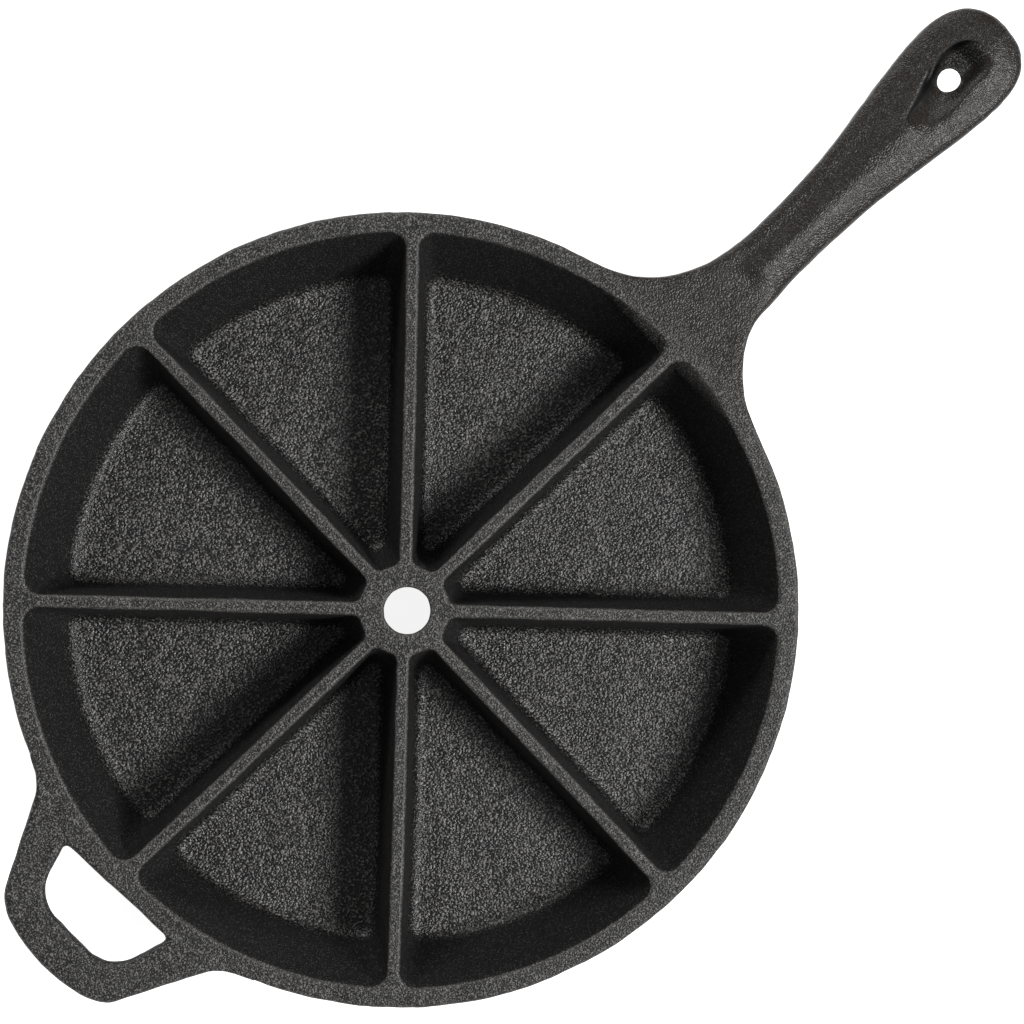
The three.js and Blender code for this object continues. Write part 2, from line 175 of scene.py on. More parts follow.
def pocket_tip(depth, inset):
    flank = pocket_sides(depth, inset)[0]
    end_x = TIP_END + depth * TIP_LEAN + inset
    corner = TIP_CORNER + (TIP_FLOOR_CORNER - TIP_CORNER) * max(depth, 0) / POCKET_DEPTH - inset
    across = ((end_x + corner) * math.sin(HALF_WEDGE) - flank - corner) / math.cos(HALF_WEDGE)
    high = arc((end_x + corner, across), corner, FLANK_NORMAL, math.pi, TIP_ARC_STEPS)
    low = mirrored(high)
    end = line(high[-1], low[0], TIP_STEPS - 2 * TIP_ARC_STEPS)
    return np.concatenate((high[:-1], end[:-1], low))


def pocket_outline(depth, inset):
    outer, corner = pocket_sides(depth, inset)[1:]
    turn = corner_angle(depth, inset)
    reach = outer - corner
    tip = pocket_tip(depth, inset)
    centre = (reach * math.cos(turn), -reach * math.sin(turn))
    low = arc(centre, corner, -FLANK_NORMAL, -turn, CORNER_STEPS)
    high = mirrored(low)
    far = arc((0, 0), outer, -turn, turn, OUTER_STEPS)
    low_flank = line(tip[-1], low[0], FLANK_STEPS)
    high_flank = line(high[-1], tip[0], FLANK_STEPS)
    parts = (tip, low_flank, low, far, high, high_flank)
    return np.concatenate([part[:-1] for part in parts])


RING = len(pocket_outline(0, 0))
print("points around a pocket:", RING)

# %% Border of a wedge on the top face
# Half of the tip's points go to the hub's hole and half of a corner's to the rim; the rest meet the
# middle line of the divider, where the next wedge begins.
HOLE_ROUND = 0.7
HOLE_EDGE = HUB_HOLE / 2 + HOLE_ROUND
RIM_EDGE = RIM_RADIUS - RIM_ROUND
TIP_QUARTER = TIP_STEPS // 4
CORNER_HALF = CORNER_STEPS // 2
LOW_CORNER = TIP_STEPS + FLANK_STEPS
OUTER_START = LOW_CORNER + CORNER_STEPS
HIGH_CORNER = OUTER_START + OUTER_STEPS


def wedge_border():
    edge = pocket_outline(0, -EDGE_ROUND)
    turn = corner_angle(0, -EDGE_ROUND)
    low_line = np.array((math.cos(HALF_WEDGE), -math.sin(HALF_WEDGE)))
    flank_start = edge[TIP_STEPS] @ low_line
    flank_end = edge[LOW_CORNER] @ low_line
    hole = arc((0, 0), HOLE_EDGE, HALF_WEDGE, -HALF_WEDGE, TIP_STEPS - 2 * TIP_QUARTER)
    to_flank = line(HOLE_EDGE * low_line, flank_start * low_line, TIP_QUARTER)
    beside_flank = line(flank_start * low_line, flank_end * low_line, FLANK_STEPS)
    to_rim = line(flank_end * low_line, RIM_EDGE * low_line, CORNER_HALF)
    rim_corner = arc((0, 0), RIM_EDGE, -HALF_WEDGE, -turn, CORNER_STEPS - CORNER_HALF)
    rim = arc((0, 0), RIM_EDGE, -turn, turn, OUTER_STEPS)
    below = (to_flank, beside_flank, to_rim, rim_corner)
    above = tuple(mirrored(part) for part in reversed(below))
    parts = (above[-1], hole, *below, rim, *above[:-1])
    return np.concatenate([part[:-1] for part in parts])


print("points around its border:", len(wedge_border()))

# %% Rings from the border to the middle of the floor
FLAT_SHARES = (0.12, 0.5, 0.88)
ROUND_STEPS = 4
WALL_STEPS = 14
FILLET_STEPS = 4
FLOOR_STEPS = 14


def at_height(outline, z):
    return np.column_stack((outline, np.full(len(outline), z)))


def pocket_rings():
    border = wedge_border()
    edge = pocket_outline(0, -EDGE_ROUND)
    rings = [at_height(border, PAN_HEIGHT)]
    for share in FLAT_SHARES:
        rings.append(at_height(border * (1 - share) + edge * share, PAN_HEIGHT))
    for angle in np.linspace(0, math.pi / 2, ROUND_STEPS + 1):
        depth = EDGE_ROUND * (1 - math.cos(angle))
        outline = pocket_outline(depth, -EDGE_ROUND * (1 - math.sin(angle)))
        rings.append(at_height(outline, PAN_HEIGHT - depth))
    for depth in np.linspace(EDGE_ROUND, POCKET_DEPTH - FLOOR_FILLET, WALL_STEPS + 1)[1:]:
        rings.append(at_height(pocket_outline(depth, 0), PAN_HEIGHT - depth))
    for angle in np.linspace(0, math.pi / 2, FILLET_STEPS + 1)[1:]:
        depth = POCKET_DEPTH - FLOOR_FILLET * (1 - math.sin(angle))
        outline = pocket_outline(depth, FLOOR_FILLET * (1 - math.cos(angle)))
        rings.append(at_height(outline, PAN_HEIGHT - depth))
    floor_edge = rings[-1]
    middle = floor_edge.mean(axis=0)
    for share in np.linspace(0, 1, FLOOR_STEPS + 1)[1:-1]:
        rings.append(floor_edge * (1 - share) + middle * share)
    return rings, middle


print("rings in a pocket:", len(pocket_rings()[0]))

# %% Profiles of the outside and of the hub's bore
# Both are lists of (radius, height), from the top face to the base.
RIM_STEPS = 5
BASE_STEPS = 6
BASE_FLAT = 0.6
BORE_LIP = ((0, 2), (0, 0.6), (0.2, 0.2), (0.6, 0))
HOLLOW_MOUTH = 15.3
HOLLOW_TOP = 9.4
HOLLOW_TURN = ((-1.5, 0), (-0.4, -0.3), (0, -1.5))
HOLLOW_STEPS = 10
HOLLOW_LIP = ((0, 0.8), (0.25, 0.25), (0.8, 0), (1.4, 0))


def rim_profile():
    slope = math.atan(WALL_LEAN)
    sharp = RIM_RADIUS + RIM_ROUND * (WALL_LEAN + 1 / math.cos(slope) - 1)
    base = RIM_RADIUS - PAN_HEIGHT * WALL_LEAN
    profile = []
    for angle in np.linspace(0, math.pi / 2 + slope, RIM_STEPS + 1)[1:]:
        rise = PAN_HEIGHT - RIM_ROUND * (1 - math.cos(angle))
        profile.append((RIM_EDGE + RIM_ROUND * math.sin(angle), rise))
    start = profile[-1]
    end = (base + BASE_ROUND * WALL_LEAN + sharp - RIM_RADIUS, BASE_ROUND)
    profile += [tuple(point) for point in line(start, end, WALL_STEPS)[1:]]
    for share in np.linspace(0, 1, BASE_STEPS + 1)[1:]:
        bend = (base * (1 - share) + (base - BASE_ROUND) * share, 0)
        before = (end[0] * (1 - share) + base * share, BASE_ROUND * (1 - share))
        profile.append(tuple(np.asarray(before) * (1 - share) + np.asarray(bend) * share))
    profile.append((base - BASE_ROUND - BASE_FLAT, 0))
    return profile


def bore_profile():
    radius = HUB_HOLE / 2
    ceiling = PAN_HEIGHT - HUB_TOP
    profile = []
    for angle in np.linspace(0, math.pi / 2, ROUND_STEPS + 1)[1:]:
        fall = HOLE_ROUND * (1 - math.cos(angle))
        profile.append((HOLE_EDGE - HOLE_ROUND * math.sin(angle), PAN_HEIGHT - fall))
    profile += [(radius + out, ceiling + up) for out, up in BORE_LIP]
    profile += [(HOLLOW_TOP + out, ceiling + up) for out, up in HOLLOW_TURN]
    mouth = [(HOLLOW_MOUTH + out, up) for out, up in HOLLOW_LIP]
    profile += [tuple(point) for point in line(profile[-1], mouth[0], HOLLOW_STEPS)[1:]]
    return profile + mouth[1:]


print("outside rows:", len(rim_profile()), "bore rows:", len(bore_profile()))

# %% The skin of one wedge
# A strip of quads joins each ring to the next. Two more strips hang from the border: one down the outside
# of the wall and one down the hub's bore. One flat face closes the base between them.
RIM_COLUMNS = range(LOW_CORNER + CORNER_HALF, HIGH_CORNER + CORNER_STEPS - CORNER_HALF + 1)
BORE_COLUMNS = range(TIP_QUARTER, TIP_STEPS - TIP_QUARTER + 1)


def hang_strip(points, faces, columns, profile):
    angles = np.arctan2(*np.array([points[i][:2] for i in columns]).T[::-1])
    above = list(columns)
    for radius, height in profile:
        below = list(range(len(points), len(points) + len(above)))
        points += [(radius * math.cos(a), radius * math.sin(a), height) for a in angles]
        for i in range(len(above) - 1):
            faces.append((below[i], below[i + 1], above[i + 1], above[i]))
        above = below
    return above


def join_rings(rings, looped=False):
    count = len(rings[0])
    points = [tuple(point) for ring in rings for point in ring]
    faces = []
    for ring in range(len(rings) if looped else len(rings) - 1):
        here, there = ring * count, (ring + 1) % len(rings) * count
        for i in range(count):
            j = (i + 1) % count
            faces.append((here + i, here + j, there + j, there + i))
    return points, faces


def close_to_point(points, faces, count, tip):
    last = len(points) - count
    points.append(tuple(tip))
    faces += [(last + i, last + (i + 1) % count, len(points) - 1) for i in range(count)]


def wedge_skin():
    rings, middle = pocket_rings()
    points, faces = join_rings(rings)
    close_to_point(points, faces, RING, middle)
    outside = hang_strip(points, faces, RIM_COLUMNS, rim_profile())
    bore = hang_strip(points, faces, BORE_COLUMNS, bore_profile())
    faces.append(tuple(outside[::-1] + bore[::-1]))
    return points, faces


def make_object(name, points, faces):
    mesh = bpy.data.meshes.new(name)
    mesh.from_pydata([tuple(MM * np.asarray(point)) for point in points], [], faces)
    piece = bpy.data.objects.new(name, mesh)
    bpy.context.scene.collection.objects.link(piece)
    return piece


wedge = make_object("one_wedge", *wedge_skin())
print("faces in one wedge:", len(wedge.data.polygons))

# %% [markdown]
# ## Eight wedges around the axis
#
# Eight turned copies of the wedge make the body. An array modifier with a turned empty would do it, but a
# small Geometry Nodes tree says the rule directly: one point for each wedge, an instance on each point,
# turned by its index. The copies are then made real and joined where their borders meet. The grooves under
# the dividers use the same tree.

# %% A node with its settings and links
# The material is made here, because the tree sets it. It gets its own nodes further down.
iron = bpy.data.materials.new("oiled_cast_iron")
MATH, RANGE, MIX, NOISE = "ShaderNodeMath", "ShaderNodeMapRange", "ShaderNodeMix", "ShaderNodeTexNoise"


def add_node(tree, kind, links=None, **settings):
    node = tree.nodes.new(kind)
    for name, value in settings.items():
        setattr(node, name, value)
    for socket, source in (links or {}).items():
        if isinstance(source, bpy.types.NodeSocket):
            tree.links.new(source, node.inputs[socket])
        else:
            node.inputs[socket].default_value = source
    return node


def new_tree(name, sockets):
    tree = bpy.data.node_groups.new(name, "GeometryNodeTree")
    tree.interface.new_socket("Geometry", in_out="OUTPUT", socket_type="NodeSocketGeometry")
    for label, kind in sockets:
        tree.interface.new_socket(label, in_out="INPUT", socket_type=kind)
    return tree


# %% The tree that repeats a wedge
ring_tree = new_tree("Wedges around the axis", (
    ("Geometry", "NodeSocketGeometry"),
    ("Wedges", "NodeSocketInt"),
    ("First Angle", "NodeSocketFloat"),
    ("Join Distance", "NodeSocketFloat"),
    ("Material", "NodeSocketMaterial"),
))
given = add_node(ring_tree, "NodeGroupInput").outputs
points = add_node(ring_tree, "GeometryNodePoints", {"Count": given["Wedges"]})
index = add_node(ring_tree, "GeometryNodeInputIndex")
step = add_node(ring_tree, MATH, {0: math.tau, 1: given["Wedges"]}, operation="DIVIDE")
turn = add_node(ring_tree, MATH, {
    0: index.outputs[0], 1: step.outputs[0], 2: given["First Angle"]}, operation="MULTIPLY_ADD")
spin = add_node(ring_tree, "ShaderNodeCombineXYZ", {"Z": turn.outputs[0]})
copies = add_node(ring_tree, "GeometryNodeInstanceOnPoints", {
    "Points": points.outputs[0], "Instance": given["Geometry"], "Rotation": spin.outputs[0]})
real = add_node(ring_tree, "GeometryNodeRealizeInstances", {"Geometry": copies.outputs[0]})
joined = add_node(ring_tree, "GeometryNodeMergeByDistance", {
    "Geometry": real.outputs[0], "Distance": given["Join Distance"]})
finish = add_node(ring_tree, "GeometryNodeSetMaterial", {
    "Geometry": joined.outputs[0], "Material": given["Material"]})
add_node(ring_tree, "NodeGroupOutput", {"Geometry": finish.outputs[0]})
print("nodes in the ring tree:", len(ring_tree.nodes))

# %% The tree at work on the body
JOIN_DISTANCE = 0.01 * MM


def settle(piece):
    graph = bpy.context.evaluated_depsgraph_get()
    mesh = bpy.data.meshes.new_from_object(piece.evaluated_get(graph))
    piece.modifiers.clear()
    piece.data = mesh


def run_tree(piece, tree, values):
    modifier = piece.modifiers.new(tree.name, "NODES")
    modifier.node_group = tree
    for item in tree.interface.items_tree:
        if item.in_out == "INPUT" and item.name in values:
            modifier[item.identifier] = values[item.name]
    settle(piece)


def repeat_around(piece, first_angle):
    run_tree(piece, ring_tree, {
        "Wedges": WEDGES, "First Angle": first_angle, "Join Distance": JOIN_DISTANCE, "Material": iron})


# The pockets of this casting lie a little turned and off the rim's centre, and the hub's hole a little more.
PATTERN_TURN = math.radians(-0.38)
PATTERN_SHIFT = (0.35, -0.3)
PATTERN_FADE = 40.0
BORE_SHIFT = (0.35, -0.75)
BORE_FADE = (8.0, 12.0)


def read_points(piece, name):
    values = np.empty(len(piece.data.vertices) * 3, dtype=np.float32)
    piece.data.vertices.foreach_get(name, values)
    return values.reshape(-1, 3)


def lay_pattern(piece):
    points = read_points(piece, "co")
    radius = np.hypot(points[:, 0], points[:, 1]) / MM
    inside = np.clip((POCKET_RADIUS - radius) / PATTERN_FADE, 0, 1)[:, None]
    at_bore = 1 - smooth_step(*BORE_FADE, radius)[:, None]
    points[:, :2] += (inside * PATTERN_SHIFT + at_bore * BORE_SHIFT) * MM
    piece.data.vertices.foreach_set("co", points.ravel())


repeat_around(wedge, HALF_WEDGE + PATTERN_TURN)
lay_pattern(wedge)
wedge.name = "wedge_pan"
casting = wedge
print("faces in the body:", len(casting.data.polygons))

# %% [markdown]
# ## The long handle
#
# The handle leaves the rim as a flat web, and where the bar begins a rounded spine rises from it. Both are
# one bar in the metal, so both are one loft here: rings along the handle that start as a rounded rectangle
# and end as a fuller oval. The web's top lies in the rim's plane, so that the two flats become one.
# The bar of a casting is never quite straight, and this one wanders by a millimetre.

# %% Sizes of the handle
NECK_END = 137.0
NECK_THICKNESS = 8.0
NECK_FLARE = 35.0
NECK_ROUND = 1.3
NECK_WANDER = -0.4
NECK_LEAN = 0.9
NECK_LEAN_AT = 128.0
NECK_LEAN_SPREAD = 9.0
NECK_FULL = 0.8
NECK_FULL_AT = 139.0
NECK_FULL_SPREAD = 7.0
GRIP_NARROW = 18.1
GRIP_WIDE = 31.4
GRIP_END_LENGTH = 18.2
GRIP_SWELL = 1.7
GRIP_END = 2.45
SHOULDER_NW = 6.0
SHOULDER_SE = 3.0
EYE_SHOULDER = 3.6
GRIP_BELLY = 2.5
ROOT_FILLET = 3.0
EYE_WANDER = 0.85
WANDER_START = 150.0
BAR_MIDDLE = 33.8
BAR_START = NECK_END - 10
BAR_FULL = NECK_END + 9
GRIP_WIDE_AT = HANDLE_REACH - GRIP_END_LENGTH
FLARE_Y = GRIP_NARROW / 2 + NECK_FLARE
FLARE_X = math.sqrt((RIM_RADIUS + NECK_FLARE) ** 2 - FLARE_Y ** 2)
ROOT_SUNK = 4.3
INSIDE_WALL = RIM_RADIUS - ROOT_SUNK


def wander(x):
    from_neck = smooth_step(WANDER_START, GRIP_WIDE_AT, x)
    lean = NECK_LEAN * np.exp(-((x - NECK_LEAN_AT) / NECK_LEAN_SPREAD) ** 2)
    bow = NECK_WANDER + (EYE_WANDER - NECK_WANDER) * from_neck
    return lean + bow * smooth_step(RIM_RADIUS, NECK_END, x)


def neck_fullness(x):
    return NECK_FULL * math.exp(-((x - NECK_FULL_AT) / NECK_FULL_SPREAD) ** 2)


def grip_half_width(x):
    if x > GRIP_WIDE_AT:
        share = min((x - GRIP_WIDE_AT) / GRIP_END_LENGTH, 1)
        return GRIP_WIDE / 2 * (1 - share ** GRIP_END) ** (1 / GRIP_END)
    along = max((x - NECK_END) / (GRIP_WIDE_AT - NECK_END), 0) ** GRIP_SWELL
    waist = FLARE_Y - math.sqrt(NECK_FLARE ** 2 - max(FLARE_X - x, 0) ** 2)
    return waist + neck_fullness(x) + (GRIP_WIDE - GRIP_NARROW) / 2 * (1 - math.cos(math.pi * along)) / 2


print(f"waist {2 * grip_half_width(WANDER_START):.1f} mm, eye {2 * grip_half_width(GRIP_WIDE_AT):.1f} mm")

# %% The spine on the bar, and the slight twist of its end
BAR_RISE = 1.0
EYE_RISE = 1.3
EYE_RISE_START = 180.0
RIDGE = -0.08
FLANK_NW = 0.62
FLANK_SE = 0.74
SPINE_START = NECK_END - 0.5
SPINE_FRONT = 6.0
EYE_ROLL = math.tan(math.radians(4.0))


def spine_front(x):
    return smooth_step(SPINE_START, SPINE_START + SPINE_FRONT, x)


def spine(x, y, half_width):
    beside = y / half_width - RIDGE
    across = np.clip(beside / np.where(beside > 0, FLANK_NW, FLANK_SE), -1, 1)
    rise = BAR_RISE + (EYE_RISE - BAR_RISE) * smooth_step(EYE_RISE_START, GRIP_WIDE_AT, x)
    return rise * spine_front(x) * (1 + np.cos(math.pi * across)) / 2


print(f"the spine stands {spine(EYE_RISE_START, RIDGE, 1):.1f} mm above the rim")

# %% The recess at the end
# It is a drop in plan: a ramp from its point down to the hanging hole, one steep side and one gentle side.
EYE_START = HANDLE_REACH - 40.7
EYE_END = HANDLE_REACH - 9.5
EYE_RAMP = 20.0
EYE_CLOSE = 6.0
EYE_POINT = 0.8
EYE_HALF = 6.8
EYE_DEPTH = 6.5
EYE_FOOT_LOW = 0.8
EYE_FOOT_HIGH = 5.6
EYE_THIN_WALL = 0.5
EYE_BED_SIDE = 0.6
EYE_GENTLE = 8.5
EYE_STEEPER = 2.3
EYE_BLUNT = 0.4
EYE_FOOT_TURN = EYE_START + 7.3
EYE_PEAK = (EYE_BLUNT / (1 + EYE_BLUNT)) ** EYE_BLUNT / (1 + EYE_BLUNT)


def eye_lip(x):
    share = np.clip((x - EYE_START) / (EYE_END - EYE_START), 0, 1)
    return EYE_POINT * (1 - share) + EYE_HALF * share * (1 - share) ** EYE_BLUNT / EYE_PEAK


def eye_wall(x):
    foot = EYE_FOOT_LOW + (EYE_FOOT_HIGH - EYE_FOOT_LOW) * smooth_step(EYE_FOOT_TURN, GRIP_WIDE_AT, x)
    return np.maximum(eye_lip(x) - foot, EYE_THIN_WALL)


def eye_depth(x, y):
    ramp = np.clip((x - EYE_START) / EYE_RAMP, 0, 1)
    close = 1 - smooth_step(EYE_END - EYE_CLOSE, EYE_END, x)
    steep = smooth_step(0, eye_wall(x), eye_lip(x) - y)
    gentle = 1 - smooth_step(EYE_BED_SIDE, EYE_GENTLE - EYE_STEEPER * ramp ** 2, -y)
    return EYE_DEPTH * ramp * close * steep * gentle


print(f"depth at its widest {eye_depth(GRIP_WIDE_AT, 0):.1f} mm")

# %% A ring around the handle
# Two rows of points follow the lip and the foot of the recess's steep side, so that it stays a clean line.
# The top stands a hair above the rim and dips below it within the wall, because a union needs faces that
# cross, and two faces in one plane don't.
UNION_LIFT = 0.02
UNION_SINK = 0.15
SINK_RUN = 2.0
EDGE_STEPS = 7
LIP_STEPS = 6
STEEP_STEPS = 4
BED_STEPS = 14
EDGE_TURN = math.radians(62)
LIP_RANGE = (0.05, 0.9)
WIDEST_WALL = 0.5
SHOULDER_TURN = (185.0, 215.0)


def rows_across(x, half):
    lip = np.clip(eye_lip(x) / half, *LIP_RANGE)
    foot = lip - min(eye_wall(x) / half, WIDEST_WALL)
    spans = ((1, lip, LIP_STEPS), (lip, foot, STEEP_STEPS), (foot, -1, BED_STEPS))
    return np.concatenate([line((start,), (end,), steps)[:-1, 0] for start, end, steps in spans])


def top_rows(edge, x):
    inner = edge[-1] * rows_across(x, edge[-1])
    return np.concatenate((edge[:-1], inner, -edge[::-1]))


def union_sink(x, y):
    return UNION_SINK * np.clip((RIM_EDGE - np.hypot(x, y)) / SINK_RUN, 0, 1) - UNION_LIFT


def handle_ring(side_x, half_width, middle_x):
    angle = np.linspace(0, 1, EDGE_STEPS) * math.pi / 2
    corner_y = half_width - NECK_ROUND * (1 - np.cos(angle))
    corner_z = PAN_HEIGHT - NECK_ROUND * (1 - np.sin(angle))
    web_y = top_rows(np.concatenate(((half_width,), corner_y)), middle_x)
    web_z = np.full(len(web_y), PAN_HEIGHT)
    web_z[1:EDGE_STEPS + 1] = corner_z
    web_z[-EDGE_STEPS - 1:-1] = corner_z[::-1]
    web_z[[0, -1]] = PAN_HEIGHT - NECK_THICKNESS / 2
    towards_eye = smooth_step(*SHOULDER_TURN, middle_x)
    bar_edge = half_width * np.cos(np.linspace(0, EDGE_TURN, EDGE_STEPS + 1)) ** (2 / EYE_SHOULDER)
    bar_y = top_rows(bar_edge, middle_x)
    power = np.where(bar_y > 0, SHOULDER_NW, SHOULDER_SE) * (1 - towards_eye) + EYE_SHOULDER * towards_eye
    share = np.clip(np.abs(bar_y) / half_width, 0, 1)
    shoulder = (PAN_HEIGHT - BAR_MIDDLE) * (1 - share ** power) ** (1 / power)
    belly = (BAR_MIDDLE - GRIP_UNDER) * (1 - share ** GRIP_BELLY) ** (1 / GRIP_BELLY)
    narrowing = math.sqrt(half_width / (GRIP_WIDE / 2)) if side_x > GRIP_WIDE_AT else 1
    x = middle_x + (side_x - middle_x) * (web_y / half_width) ** 2
    fullness = smooth_step(BAR_START, BAR_FULL, x)
    y = web_y * (1 - fullness) + bar_y * fullness
    bar_top = BAR_MIDDLE + (shoulder + spine(x, bar_y, half_width)) * narrowing - eye_depth(x, bar_y)
    rise = np.maximum(fullness, spine_front(x))
    top = web_z * (1 - rise) + bar_top * rise - union_sink(x, y + wander(x))
    under = (2 * PAN_HEIGHT - NECK_THICKNESS - web_z) * (1 - fullness)
    under += (BAR_MIDDLE - belly * narrowing) * fullness
    from_wall = np.hypot(x, y) - (RIM_RADIUS - NECK_THICKNESS * WALL_LEAN)
    under -= ROOT_FILLET * np.clip(1 - from_wall / (2 * ROOT_FILLET), 0, 1) ** 2
    roll = EYE_ROLL * smooth_step(NECK_END, GRIP_WIDE_AT, x) * y
    upper_side = np.column_stack((x, y + wander(x), top - roll))
    lower_side = np.column_stack((x, y + wander(x), under - roll))
    return np.concatenate((upper_side, lower_side[::-1][1:-1]))


print("points around the handle:", len(handle_ring(NECK_END, grip_half_width(NECK_END), NECK_END)))

# %% The handle's rings
NECK_RINGS = 34
BAR_RINGS = 30
EYE_RINGS = 40
END_RINGS = 33
EYE_BEFORE = EYE_START - 2


def handle_rings():
    lean = math.atan2(FLARE_Y, FLARE_X)
    root = INSIDE_WALL * np.array((math.cos(lean), math.sin(lean)))
    rings = [handle_ring(root[0], root[1], INSIDE_WALL)]
    start = RIM_RADIUS * math.cos(lean)
    for angle in np.linspace(lean + math.pi, 1.5 * math.pi, NECK_RINGS):
        side = (FLARE_X + NECK_FLARE * math.cos(angle), FLARE_Y + NECK_FLARE * math.sin(angle))
        share = (side[0] - start) / (FLARE_X - start)
        half = side[1] + neck_fullness(side[0])
        rings.append(handle_ring(side[0], half, RIM_RADIUS + (FLARE_X - RIM_RADIUS) * share))
    bar = np.linspace(FLARE_X, EYE_BEFORE, BAR_RINGS + 1)[1:]
    eye = np.linspace(EYE_BEFORE, GRIP_WIDE_AT, EYE_RINGS + 1)[1:]
    end = GRIP_WIDE_AT + GRIP_END_LENGTH * np.sin(np.linspace(0, math.pi / 2, END_RINGS + 1)[1:-1])
    for x in np.concatenate((bar, eye, end)):
        rings.append(handle_ring(x, grip_half_width(x), x))
    return rings


print("rings along the handle:", len(handle_rings()))

# %% A closed loft


def closed_loft(name, rings, end_point=None, looped=False):
    points, faces = join_rings(rings, looped)
    count = len(rings[0])
    if not looped:
        faces.append(tuple(range(count)))
    if end_point is not None:
        close_to_point(points, faces, count, end_point)
    elif not looped:
        faces.append(tuple(range(len(points) - count, len(points))))
    piece = make_object(name, points, faces)
    shell = bmesh.new()
    shell.from_mesh(piece.data)
    bmesh.ops.recalc_face_normals(shell, faces=shell.faces)
    shell.to_mesh(piece.data)
    shell.free()
    return piece


handle = closed_loft("handle", handle_rings(), (HANDLE_REACH, EYE_WANDER, BAR_MIDDLE))
print("faces in the handle:", len(handle.data.polygons))

# %% [markdown]
# ## The helper handle
#
# Opposite the long handle a flat bar leaves the rim, bends round a finger opening and comes back. It could
# be a plate with a hole in it, but a bar that is lofted all round the opening keeps the same soft edge inside
# and outside. Its fourth side lies within the wall, and its top in the plane of the rim.

# %% Sizes of the helper handle
HELPER_THICKNESS = 6.5
HELPER_ROOT = 93.0
HELPER_END = 37.4
HELPER_SIDE = 0.511
HELPER_CORNER = 8.2
HELPER_BOW = 50.0
HELPER_BOW_HALF = 14.0
HELPER_BAR = 12.0
HELPER_ROUND = 1.4
HELPER_SKEW = 0.025
HELPER_OFFSET = -0.5
FINGER_ROOT = 41.0
FINGER_END = 29.6
FINGER_CORNER = 9.0
FINGER_TOP = RIM_RADIUS + 0.3
FINGER_NOTCH = 2.6
FINGER_OFFSET = -1.35
FINGER_SLANT = 0.049
print(f"finger opening {FINGER_ROOT:.1f} mm wide at the rim, {FINGER_END:.1f} mm at its far side")


def bend(start, control, end, steps):
    share = np.linspace(0, 1, steps + 1)[:, None]
    start, control, end = (np.asarray(point) for point in (start, control, end))
    return start * (1 - share) ** 2 + 2 * control * share * (1 - share) + end * share ** 2


# %% The bar's outer and inner outline
# Both run from the middle of the rim's side to the middle of the far side, station by station.
TOP_STATIONS = 8
NOTCH_STATIONS = 6
ROOT_STATIONS = 12
SIDE_STATIONS = 9
CORNER_STATIONS = 14
END_STATIONS = 4


def helper_half(x):
    return HELPER_END / 2 + (HELPER_REACH - x) * HELPER_SIDE


def outer_side():
    root_angle = math.asin(HELPER_ROOT / 2 / RIM_RADIUS)
    root = RIM_RADIUS * np.array((math.cos(root_angle), math.sin(root_angle)))
    rim_slope = -math.tan(root_angle)
    bend_x = HELPER_REACH * HELPER_SIDE + HELPER_END / 2 - root[1] + root[0] / rim_slope
    bend_x /= HELPER_SIDE + 1 / rim_slope
    side_start = 2 * bend_x - root[0]
    corner_x = HELPER_REACH - HELPER_CORNER
    side, corner = (side_start, helper_half(side_start)), (corner_x, helper_half(corner_x))
    bow_y = np.linspace(HELPER_BOW_HALF, 0, END_STATIONS + 1)
    bow = np.column_stack((HELPER_REACH - bow_y ** 2 / (2 * HELPER_BOW), bow_y))
    lean = HELPER_BOW_HALF / HELPER_BOW
    turn_y = helper_half(bow[0, 0] + lean * HELPER_BOW_HALF) / (1 - HELPER_SIDE * lean)
    turn = (bow[0, 0] - lean * (turn_y - HELPER_BOW_HALF), turn_y)
    return np.concatenate((
        arc((0, 0), INSIDE_WALL, 0, root_angle, TOP_STATIONS + NOTCH_STATIONS),
        bend(root, (bend_x, helper_half(bend_x)), side, ROOT_STATIONS - 1),
        line(side, corner, SIDE_STATIONS)[1:],
        bend(corner, turn, bow[0], CORNER_STATIONS)[1:],
        bow[1:],
    ))


FINGER_FAR = HELPER_REACH - HELPER_BAR


def finger_half(x):
    return FINGER_END / 2 + (FINGER_FAR - x) * (FINGER_ROOT - FINGER_END) / 2 / (FINGER_FAR - RIM_RADIUS)


def finger_side():
    notch = (FINGER_TOP + FINGER_NOTCH, finger_half(FINGER_TOP + FINGER_NOTCH))
    top_end = (FINGER_TOP, finger_half(FINGER_TOP) - FINGER_NOTCH)
    corner = (FINGER_FAR - FINGER_CORNER, finger_half(FINGER_FAR - FINGER_CORNER))
    corner_end = (FINGER_FAR, finger_half(FINGER_FAR) - FINGER_CORNER)
    return np.concatenate((
        line((FINGER_TOP, 0), top_end, TOP_STATIONS),
        bend(top_end, (FINGER_TOP, finger_half(FINGER_TOP)), notch, NOTCH_STATIONS)[1:],
        line(notch, corner, ROOT_STATIONS + SIDE_STATIONS)[1:],
        bend(corner, (FINGER_FAR, finger_half(FINGER_FAR)), corner_end, CORNER_STATIONS)[1:],
        line(corner_end, (FINGER_FAR, 0), END_STATIONS)[1:],
    ))


print("stations on half the helper handle:", len(outer_side()), len(finger_side()))

# %% The helper handle's rings
# Its top crosses the rim's plane in the same way as the long handle's.
FLAT_STEPS = 7
FLAT_TURN = 4


def flat_section(half_width, half_height, radius):
    turn = arc((half_width - radius, half_height - radius), radius, 0, math.pi / 2, FLAT_TURN)
    top = line(turn[-1], (0, half_height), FLAT_STEPS)[1:]
    quarter = np.concatenate((((half_width, 0),), turn, top))
    upper = np.concatenate((quarter, (quarter * (-1, 1))[::-1][1:]))
    return np.concatenate((upper, (upper * (-1, -1))[1:-1]))


